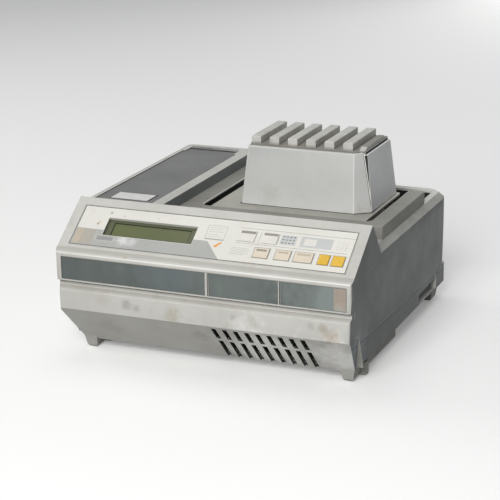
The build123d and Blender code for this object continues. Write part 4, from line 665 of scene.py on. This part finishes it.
def behind_skirt(centre, normal):
    """Everything deeper than the skirt's slanted outer plane in the row of slots."""
    in_row = all(low < value < high for low, value, high in zip(slots_low, centre, slots_high))
    depth = (centre.y - skirt_top.y) * skirt_out.y + (centre.z - skirt_top.z) * skirt_out.z
    return in_row and depth < -BEHIND_SKIRT


def on_right_rim(centre, normal):
    """Top of the low rim along the right side."""
    return normal.z > ROUGHLY and all(value > limit for value, limit in zip(centre, rim_corner))


# the tab's front gets painted shade
def on_foot_tab(centre, normal):
    """Front of the tab behind the right and left ends of the skirt."""
    return abs(centre.x) > TAB_FROM_MIDDLE and tab_near < centre.y < tab_far and normal.y < -ROUGHLY


def at_hood_side(centre, normal):
    """Shell faces in the gap beside the side cover."""
    return normal.x > CLOSELY and centre.z < rib_low.z - COVER_OVERLAP


def at_cover_end(centre, normal):
    """Front end of the side cover, which lies in shadow."""
    return normal.y < -ROUGHLY


def between_ribs(centre, normal):
    """The hood's flat top between the ribs, where dust stays and painted shade lies."""
    return normal.z > LEVEL and rib_low.z - RIB_FOOT < centre.z < rib_high.z - RIB_TOP


# %% [markdown]
# The radii are real ones, in millimetres. Moulded foam has edges of about 0.7, the ribs are rounder, cut
# sheet and plates are crisper, and rubber feet are the softest of all. Only pieces that can be seen from
# outside are rounded, since an edge that nobody sees only costs faces.

# %% Outer pieces
outer_pieces = [
    # edge paints are wear with a painted highlight; the black paint is painted shade, and the rim and hood
    # top paints are dust with painted shade
    ("upper_case", 0.7, case_edge_wear_and_highlight, [(in_lid_recess, painted_shade_black), (on_right_rim, rim_dust_and_shade)]),
    ("lower_case", 0.7, case_edge_wear_and_highlight, [(behind_skirt, painted_shade_black), (on_foot_tab, rim_dust_and_shade)]),
    ("hood_shell", 0.5, case_edge_wear_and_highlight, [(at_hood_side, painted_shade_black), (between_ribs, hood_dust_and_shade)]),
    ("hood_ribs", 1.2, None, [(between_ribs, hood_dust_and_shade)]),
    ("hood_side_cover", 0.5, case_edge_wear_and_highlight, [(at_cover_end, painted_shade_black)]),
    ("deck", 0.8, deck_edge_wear_and_highlight), ("printer_lid", 0.4, lid_edge_wear_and_highlight), ("lid_plate", 0.3),
    ("floor_plate", 0.5, deck_edge_wear_and_highlight), ("feet", 1.6), ("base_skids", 1.0), ("front_windows", 0.25),
    ("power_rocker", 0.5), ("power_inlet", 0.5), ("data_port", 0.4), ("plate_guides", 0.5),
    ("tear_bar", 0.15)]
for outer_piece in outer_pieces:
    softened(*outer_piece)
print("rounded", len(outer_pieces), "outer pieces")

# %% [markdown]
# The printing lies on the panel's film as ink: bands, frames and bars a few hundredths of a millimetre
# thick. Each is drawn in the slanted plane's own coordinates, X across and T up the slope, both in
# millimetres, with T counted from the panel's front edge. One function puts such points in space.

# %% The panel's plane
FILM_THICKNESS, FILM_BOTTOM_T = 0.8 * MM, 13.7 * MM
film_edge = Vector((0, film_low.y, film_low.z + FILM_THICKNESS * panel_out.z))
panel_origin = film_edge - panel_up * FILM_BOTTOM_T


def on_panel(points, lift_mm):
    """Points (x, t) in mm, raised by lift_mm: origin + x along X + t up the slope + lift outwards."""
    points = np.asarray(points, float) * MM
    base = np.array(panel_origin) + np.outer(points[:, 1], panel_up) + np.array(panel_out) * lift_mm * MM
    base[:, 0] += points[:, 0]
    return base


print("T starts at", np.round(np.array(panel_origin) / MM, 1).tolist(), "mm")

# %% [markdown]
# Ink could be an image on the film, but a thin slab keeps its edge sharp from any distance. The function
# below turns any number of outlines into closed slabs: each outline is placed twice, low and high, and the
# two rings are capped and joined by a wall.

# %% Thin slabs and their outlines
def slabs(name, outlines, low_mm, high_mm, material, body="case", place=on_panel):
    """Thin closed slabs on a plane, one for each outline, joined as one piece."""
    verts, faces = [], []
    for outline in outlines:
        count, start = len(outline), sum(len(block) for block in verts)
        verts.append(np.vstack([place(outline, low_mm), place(outline, high_mm)]))
        ring = np.arange(count)
        after = np.roll(ring, -1)
        faces.append((start + ring[::-1]).tolist())
        faces.append((start + count + ring).tolist())
        faces += (start + np.stack([ring, after, count + after, count + ring], 1)).tolist()
    mesh = bpy.data.meshes.new(name)
    mesh.from_pydata(np.vstack(verts).tolist(), [], faces)
    mesh.materials.append(material)
    piece = bpy.data.objects.new(name, mesh)
    stage_scene.collection.objects.link(piece)
    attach(piece, body)


def bar(x0, x1, t0, t1):
    """Outline of an upright bar from x0 to x1 and from t0 to t1."""
    return [(x0, t0), (x1, t0), (x1, t1), (x0, t1)]


def frame_of(x0, x1, t0, t1, line):
    """Four bars that frame a field."""
    return [bar(x0, x1, t0, t0 + line), bar(x0, x1, t1 - line, t1), bar(x0, x0 + line, t0 + line, t1 - line),
            bar(x1 - line, x1, t0 + line, t1 - line)]


# %% [markdown]
# Screen ink is an even film of colour with a soft sheen. Light and wiping have changed every printed field
# in its own way, some towards yellow and some towards grey, so nearly each has an ink of its own.

# %% Inks
ink_grey = aged("grey_screen_ink", "#A9AAA6", "#9D9E9A", "#8F8B7E", 0.42, smudge_mm=45.0, stain=0.2,
                marks=[(spot(-101, 20.5, 143), 9.0, "#DADAD8", 0.8),
                       (spot(-90, 20, 142), 8.0, "#CFCFCC", 0.65)])
ink_beige = aged("yellowed_screen_ink", "#B8AD9A", "#AFA694", "#A08A62", 0.45, smudge_mm=9.0, stain=0.5,
                 stain_mm=9.0)
ink_tan = aged("greyed_screen_ink", "#ABA59A", "#A39E94", "#978B74", 0.45, smudge_mm=9.0, stain=0.3)
# this ink also draws the painted shadow over the windows and darkens the bars between them
bar_ink_and_window_shade = aged("brown_grey_ink_and_window_shade", "#8F8B83", "#85817A", "#776F62", 0.42, smudge_mm=9.0)
ink_pale = aged("pale_grey_screen_ink", "#BFC0BF", "#B6B7B6", "#A09B8E", 0.42, smudge_mm=12.0)
ink_slate = aged("slate_screen_ink", "#8F918F", "#858785", "#77756C", 0.42, smudge_mm=12.0)
ink_dark = aged("dark_screen_ink", "#4A4A46", "#4E4E4A", "#6B6658", 0.42, smudge_mm=12.0)
ink_faint = aged("faint_screen_ink", "#B4B3AC", "#A8A79F", "#9B978A", 0.42, smudge_mm=8.0)
ink_orange = aged("orange_screen_ink", "#DDA05C", "#D3934D", "#B98746", 0.42, smudge_mm=6.0)
print("inks:", sum("ink" in material.name for material in bpy.data.materials))

# %% [markdown]
# The grey band runs under the display and ends in a slant, with a notch where the display's frame stands.
# Two patches and a small plain field lie on it, so they are lifted by the thickness of one more ink.

# %% Grey band and what lies on it
INK_LOW, INK_HIGH, THIN_INK, LINE_INK = 0.0, 0.05, 0.03, 0.04
SECOND_INK = INK_HIGH + THIN_INK
BAND_LEFT, BAND_BOTTOM, BAND_TOP = -163.0, 14.6, 38.0
PATCH_BOTTOM, PATCH_TOP = 16.5, 36.8
DISPLAY_LEFT, DISPLAY_RIGHT, DISPLAY_BOTTOM, NOTCH_GAP = -129.2, -19.2, 31.0, 0.5
notch_left, notch_right = DISPLAY_LEFT - NOTCH_GAP, DISPLAY_RIGHT + NOTCH_GAP
notch_bottom = DISPLAY_BOTTOM - NOTCH_GAP
grey_band = [(BAND_LEFT, BAND_BOTTOM), (18.5, BAND_BOTTOM), (-2.0, BAND_TOP), (notch_right, BAND_TOP),
             (notch_right, notch_bottom), (notch_left, notch_bottom), (notch_left, BAND_TOP),
             (BAND_LEFT, BAND_TOP)]
slabs("ink_band", [grey_band], INK_LOW, INK_HIGH, ink_grey)
slabs("ink_patch_left", [bar(-161.5, -153.5, PATCH_BOTTOM, PATCH_TOP)], INK_HIGH, SECOND_INK, ink_beige)
slabs("ink_patch_plain", [bar(-153.5, -139.0, PATCH_BOTTOM, PATCH_TOP)], INK_HIGH, SECOND_INK, ink_tan)
slabs("ink_badge_field", [bar(-137.0, -111.0, 22.0, 31.0)], INK_HIGH, SECOND_INK, ink_faint)
slabs("ink_badge_core", [bar(-134.0, -114.0, 23.6, 29.2)], SECOND_INK, INK_HIGH + 2 * THIN_INK, ink_slate)
print("grey band from", BAND_BOTTOM, "to", BAND_TOP, "mm up the panel")

# %% [markdown]
# The rest is thin: a dark border just inside the film's edge, a frame round a plain field, and rows of
# short ruled lines. All of them are bars, and nothing here spells a word.

# %% Border, rules and ruled rows
UPPER_LINE, LOWER_LINE = 0.45, 0.5
border = frame_of(-164.2, 165.2, 14.0, 70.7, 0.85)
fields = frame_of(-7.0, 16.0, 41.5, 60.5, 0.35) + [bar(-6.0, 16.0, 40.6, 41.5)]
rules = [bar(30.5, 163.5, 61.0, 61.45), bar(30.5, 52.0, 43.0, 43.5), bar(30.5, 160.0, 40.2, 40.65),
         bar(56.6, 57.0, 41.0, 57.5), bar(78.4, 78.7, 44.0, 57.5)]
slabs("ink_border", border, INK_HIGH, INK_HIGH + LINE_INK, ink_dark)
slabs("ink_rules", fields + rules, INK_LOW, INK_HIGH, ink_slate)
upper_rows = [bar(-5.0, -5.0 + length, t, t + UPPER_LINE)
              for t, length in ((57.0, 19.0), (54.2, 15.0), (51.4, 18.0), (47.4, 13.0), (44.6, 17.0))]
lower_rows = [bar(28.0, 28.0 + length, t, t + LOWER_LINE)
              for t, length in ((33.0, 21.0), (30.8, 23.0), (28.6, 20.0), (26.4, 22.0), (24.2, 18.0))]
slabs("ink_text_rows", upper_rows + lower_rows, INK_LOW, INK_HIGH, ink_faint)
print("ruled rows:", len(upper_rows + lower_rows))

# %% [markdown]
# Above the keys lie pale blocks, a field of short dashes and a grid of fine lines, and beside the grey
# band a small orange mark of two leaves. A leaf is an ellipse: its long half times the cosine of an angle
# that runs round, its short half times the sine, and both turned by the leaf's lean.

# %% Blocks, dashes, grid and leaves
BLOCK_BOTTOM, BLOCK_TOP = 43.5, 57.5
DASH_WIDTH, DASH_HEIGHT, GRID_WIDTH, GRID_HEIGHT = 2.2, 1.1, 3.6, 0.4
LEAF_CORNERS = 28
slabs("ink_blocks", [bar(81.0, 99.0, 44.0, 57.0), bar(104.0, 108.0, BLOCK_BOTTOM, BLOCK_TOP),
                     bar(122.0, 140.5, BLOCK_BOTTOM, BLOCK_TOP), bar(108.0, 122.0, 55.0, BLOCK_TOP),
                     bar(108.0, 122.0, BLOCK_BOTTOM, 46.0)], INK_LOW, INK_HIGH, ink_pale)
dashes = [bar(x, x + DASH_WIDTH, t, t + DASH_HEIGHT) for t in (46.0, 50.2, 54.4)
          for x in (82.6, 86.6, 90.8, 95.0)]
grid = [bar(x, x + GRID_WIDTH, t, t + GRID_HEIGHT) for t in (45.0, 47.6, 50.2, 52.8, 55.4)
        for x in (145.5, 150.3, 155.1)]
slabs("ink_dashes", dashes, INK_HIGH, INK_HIGH + LINE_INK, ink_dark)
slabs("ink_grid", grid, INK_LOW, INK_HIGH, ink_faint)
angles = np.linspace(0, 2 * pi, LEAF_CORNERS, endpoint=False)
leaves = []
for x, t, long_mm, short_mm, lean in ((12.0, 35.2, 4.2, 1.5, 0.75), (9.2, 32.0, 2.6, 1.2, -0.25)):
    run, rise = long_mm * np.cos(angles), short_mm * np.sin(angles)
    leaves.append(np.stack([x + run * cos(lean) - rise * sin(lean),
                            t + run * sin(lean) + rise * cos(lean)], 1))
slabs("ink_leaf_mark", leaves, INK_LOW, INK_HIGH, ink_orange)
print("dashes", len(dashes), "grid lines", len(grid))

# %% [markdown]
# Each cream and white key carries a printed bar, and a key moves, so its bar rides on the key and not on
# the case. Around the cream and yellow keys runs a thin grey outline, which stays behind on the film.

# %% Key legends and outlines
KEY_RISE, KEY_MIDDLE_T, KEY_HALF_T = 1.0, 29.5, 6.5
OUTLINE_GAP, OUTLINE_WIDTH = 1.0, 0.6
CREAM_KEYS = {"key_cream_left": (64.5, 17.0), "key_cream_middle": (89.5, 17.0),
              "key_cream_right": (113.5, 21.0)}     # X of each key's middle, and its width
YELLOW_KEYS = {"key_yellow_left": (136.7, 11.6), "key_yellow_right": (153.0, 13.2)}
WHITE_KEYS = {"key_white_left": (42.2, 18.5), "key_white_right": (68.8, 17.5)}
yellowed = ("key_cream_middle", "key_cream_right")
for slot, keys, margin, bottom, top in (("key_cream", CREAM_KEYS, 2.6, 31.4, 34.0),
                                        ("key_white", WHITE_KEYS, 0.6, 53.4, 56.8)):
    for key, (x, width) in keys.items():
        slabs(key + "_bar", [bar(x - width / 2 + margin, x + width / 2 - margin, bottom, top)], KEY_RISE,
              KEY_RISE + LINE_INK, ink_beige if key in yellowed else bar_ink_and_window_shade, key)
outlines = []
for x, width in (CREAM_KEYS | YELLOW_KEYS).values():
    outlines += frame_of(x - width / 2 - OUTLINE_GAP, x + width / 2 + OUTLINE_GAP,
                         KEY_MIDDLE_T - KEY_HALF_T - OUTLINE_GAP, KEY_MIDDLE_T + KEY_HALF_T + OUTLINE_GAP,
                         OUTLINE_WIDTH)
slabs("ink_key_outlines", outlines, INK_LOW, INK_HIGH, ink_slate)
print("printed bars ride on", len(CREAM_KEYS | WHITE_KEYS), "keys")

# %% [markdown]
# The glass of the display sits deeper than the film, and a black gasket line shows all round it. Its depth
# is measured on the glass itself: how far its outermost point lies from the film along the panel's
# direction. The corners of a mesh are read in one go, as one array.

# %% Gasket round the display glass
GASKET_WIDTH, GASKET_HEIGHT = 0.9, 0.2


def corners_of(node):
    """All corners of a frame piece's mesh, one row of X, Y and Z for each."""
    mesh = frame["nodes"][node].data
    flat = np.empty(3 * len(mesh.vertices))
    mesh.vertices.foreach_get("co", flat)
    return flat.reshape(-1, 3)


from_origin = corners_of("display_glass") - np.array(panel_origin)
glass_lift = (from_origin @ np.array(panel_out)).max() / MM
glass_t = from_origin @ np.array(panel_up) / MM
gasket = frame_of(glass_low.x / MM, glass_high.x / MM, glass_t.min(), glass_t.max(), GASKET_WIDTH)
slabs("display_gasket", gasket, glass_lift, glass_lift + GASKET_HEIGHT, dark_rubber)
print("display glass lies", round(-glass_lift, 2), "mm below the film")

# %% [markdown]
# The front face has its own small things. A strip of old tape is stuck on the right-hand window, a fine dark
# line over the windows is a painted shadow under the edge above them, and the bars between the windows are
# darkened. They lie on upright planes, so their outlines are given as X and Z, and the plane is read from the
# pieces that carry them.

# %% Tape, painted shadow and darker bars on the front
TAPE_REACH, TAPE_THICKNESS, TAPE_GAP, TAPE_FOOT_GAP = 14.5, 0.12, 0.8, 0.6
SHADOW_FROM, SHADOW_TO, SHADOW_AND_BAR_THICKNESS = 0.1, 0.9, 0.05
WINDOW_BARS = ((11.1, 12.3), (95.9, 96.5))          # X from and to, on the two bars between the windows


def on_front(plane_y):
    """Function that puts points (x, z) in mm on the upright plane at plane_y, raised towards the front."""
    def placed(points, lift_mm):
        points = np.asarray(points, float) * MM
        return np.stack([points[:, 0], np.full(len(points), plane_y - lift_mm * MM), points[:, 1]], 1)
    return placed


window_low, window_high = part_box("front_windows")
left_x, right_x = window_low.x / MM, window_high.x / MM
low_z, high_z = window_low.z / MM, window_high.z / MM
tape = bar(right_x - TAPE_REACH, right_x - TAPE_GAP, low_z + TAPE_FOOT_GAP, high_z - TAPE_GAP)
slabs("window_tape", [tape], 0.0, TAPE_THICKNESS, tape_brown,
      place=on_front(window_low.y))
# painted shadow over the windows, and a darker tone on the bars between them
shadow_and_bar_lines = [bar(left_x, right_x, high_z + SHADOW_FROM, high_z + SHADOW_TO)]
shadow_and_bar_lines += [bar(x0, x1, low_z, high_z) for x0, x1 in WINDOW_BARS]
slabs("window_shadow_and_bar_lines", shadow_and_bar_lines, 0.0, SHADOW_AND_BAR_THICKNESS, bar_ink_and_window_shade,
      place=on_front(cad_box[0][1]))
print("the windows are", round(high_z - low_z, 1), "mm high")

# %% [markdown]
# A thin dark line round the hood's foot, where it stands on the shaking plate, is a painted shadow. The line
# is the hood's own outline at its foot, so it is taken from the shell: the lowest points of the mesh, sorted
# by the angle at which they lie round the middle, and pushed outwards by the width of the line. It rides on
# the plate, so it shakes with it and stays there when the hood is lifted.

# %% Painted shadow round the hood's foot
FOOT_LINE_MM, FOOT_LINE_HALF = 1.3, 0.1
AT_FOOT = 0.05 * MM
OUTERMOST = 0.995                                   # share of the way from the middle to the foot's edge


def on_level(plane_z):
    """Function that puts points (x, y) in mm on the level plane at plane_z, raised upwards."""
    def placed(points, lift_mm):
        points = np.asarray(points, float) * MM
        return np.stack([points[:, 0], points[:, 1], np.full(len(points), plane_z + lift_mm * MM)], 1)
    return placed


shell_points = corners_of("hood_shell")
foot_z = shell_points[:, 2].min()
foot = shell_points[shell_points[:, 2] < foot_z + AT_FOOT][:, :2]
low, high = foot.min(0), foot.max(0)
middle = (low + high) / 2
reach = np.abs(foot - middle) / (high - low) * 2
outer = np.unique(np.round(foot[reach.max(1) > OUTERMOST] / MM, 2), axis=0)
from_middle = outer - middle / MM
outer = outer[np.argsort(np.arctan2(from_middle[:, 1], from_middle[:, 0]))]
pushed = outer + FOOT_LINE_MM * np.sign(outer - middle / MM)
around = np.stack([outer, pushed, np.roll(pushed, -1, 0), np.roll(outer, -1, 0)], 1)
# painted shadow round the hood's foot
slabs("hood_foot_shadow", around, -FOOT_LINE_HALF, FOOT_LINE_HALF, painted_shade_black,
      frame["nodes"]["floor_plate"]["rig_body"], on_level(foot_z))
print("hood foot", len(outer), "corners at", np.round(outer, 1).tolist())

# %% [markdown]
# A dark line along the right and front edges of the card label on the lid is a painted shadow of the card's
# edge. It is drawn on the lid beside the label: two bars that meet at the corner. It rides on the lid, so it
# turns with it when the lid opens.

# %% Painted shadow beside the label
RIM_RIGHT, RIM_FRONT, RIM_END, RIM_THICKNESS = 2.5, 1.5, 0.5, 0.06
label_low, label_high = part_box("lid_plate")
label_left, label_right = label_low.x / MM, label_high.x / MM
label_front, label_rear = label_low.y / MM, label_high.y / MM
label_rim = [bar(label_right, label_right + RIM_RIGHT, label_front - RIM_FRONT, label_rear + RIM_END),
             bar(label_left - RIM_END, label_right, label_front - RIM_FRONT, label_front)]
# painted shadow along the label's right and front edges
slabs("label_shadow", label_rim, 0.0, RIM_THICKNESS, painted_shade_black, "printer_lid",
      on_level(lid_high.z))
print("the label is", round(label_right - label_left, 1), "mm wide")

# %% [markdown]
# A plain studio starts with a pale floor. It is nearly white only for the camera and for mirrored rays, by
# the Light Path node, and a mid grey for the rays that light other things, so it throws no extra light on
# the object. The sky in a later cell needs the same switch, so it is a function.

# %% Floor
FLOOR_HALF, FLOOR_GLOW = 7.0, 0.20


def looked_at(tree):
    """1 on camera, glossy and transmission rays, and 0 on all others: the largest of the three."""
    path = add(tree, "ShaderNodeLightPath")
    mirrored = add(tree, "ShaderNodeMath", {0: path.outputs["Is Glossy Ray"],
                                            1: path.outputs["Is Transmission Ray"]}, operation="MAXIMUM")
    return add(tree, "ShaderNodeMath", {0: path.outputs["Is Camera Ray"], 1: mirrored.outputs["Value"]},
               operation="MAXIMUM").outputs["Value"]


floor_mesh = bpy.data.meshes.new("floor")
floor_mesh.from_pydata([(-FLOOR_HALF, -FLOOR_HALF, 0), (FLOOR_HALF, -FLOOR_HALF, 0),
                        (FLOOR_HALF, FLOOR_HALF, 0), (-FLOOR_HALF, FLOOR_HALF, 0)], [], [(0, 1, 2, 3)])
floor = bpy.data.objects.new("floor", floor_mesh)
stage_scene.collection.objects.link(floor)
floor_paint, tree = clear_tree("pale_floor_paint")
switch = looked_at(tree)
floor_colour = add(tree, "ShaderNodeMix", {"Factor": switch, MIX_A: linear("#9A9A98"),
                                           MIX_B: linear("#ECECEA")}, data_type="RGBA")
glow = add(tree, "ShaderNodeMath", {0: switch, 1: FLOOR_GLOW}, operation="MULTIPLY")
shader = add(tree, "ShaderNodeBsdfPrincipled", {"Base Color": floor_colour.outputs[MIX_OUT], "Roughness": 0.9,
                                                "Emission Color": linear("#FFFFFF"),
                                                "Emission Strength": glow.outputs["Value"]})
add(tree, "ShaderNodeOutputMaterial", {"Surface": shader.outputs["BSDF"]})
floor_mesh.materials.append(floor_paint)
print("floor of", 2 * FLOOR_HALF, "m")

# %% [markdown]
# The light is soft, as from large paper-covered lamps: a broad one in front, and weak ones above, behind and
# on the left for the sides that it doesn't reach. The object's right side turns away from them all, which
# makes it dark together with the painted shade tint in its paint. The lamps are square areas, and their size
# sets how soft they are.

# %% Lamps
LAMP_TARGET = Vector((0, 0, 0.1))
lamps = [("key_lamp", (0.30, -2.5, 1.60), 1.3, 74), ("top_lamp", (-0.3, 0.4, 2.4), 1.8, 12),
         ("back_lamp", (0.2, 2.5, 0.7), 1.4, 9), ("left_lamp", (-2.3, 0.2, 1.0), 1.4, 12)]
for name, place, size, watts in lamps:
    light = bpy.data.lights.new(name, "AREA")
    light.size = size
    light.energy = watts
    lamp = bpy.data.objects.new(name, light)
    lamp.location = place
    lamp.rotation_euler = (LAMP_TARGET - Vector(place)).to_track_quat("-Z", "Y").to_euler()
    stage_scene.collection.objects.link(lamp)
print("lamps", len(lamps), "with", sum(row[-1] for row in lamps), "W in all")

# %% [markdown]
# The sky does two things. As light it is weak, even and slightly blue, so no corner goes black. As what the
# camera and mirrored rays see it is a pale grey, which makes a calm background and clean reflections.

# %% World
SKY_STRENGTH, SEEN_STRENGTH = 0.11, 1.0
world = bpy.data.worlds.new("studio")
stage_scene.world = world
world.use_nodes = True
tree = world.node_tree
tree.nodes.clear()
sky = add(tree, "ShaderNodeBackground", {"Color": linear("#F2F7FF"), "Strength": SKY_STRENGTH})
backdrop = add(tree, "ShaderNodeBackground", {"Color": linear("#E0E0DE"), "Strength": SEEN_STRENGTH})
both = add(tree, "ShaderNodeMixShader", {0: looked_at(tree), 1: sky.outputs["Background"],
                                         2: backdrop.outputs["Background"]})
add(tree, "ShaderNodeOutputWorld", {"Surface": both.outputs["Shader"]})
stage_scene.view_settings.view_transform = "Standard"
print("sky light", SKY_STRENGTH, "and backdrop", SEEN_STRENGTH)
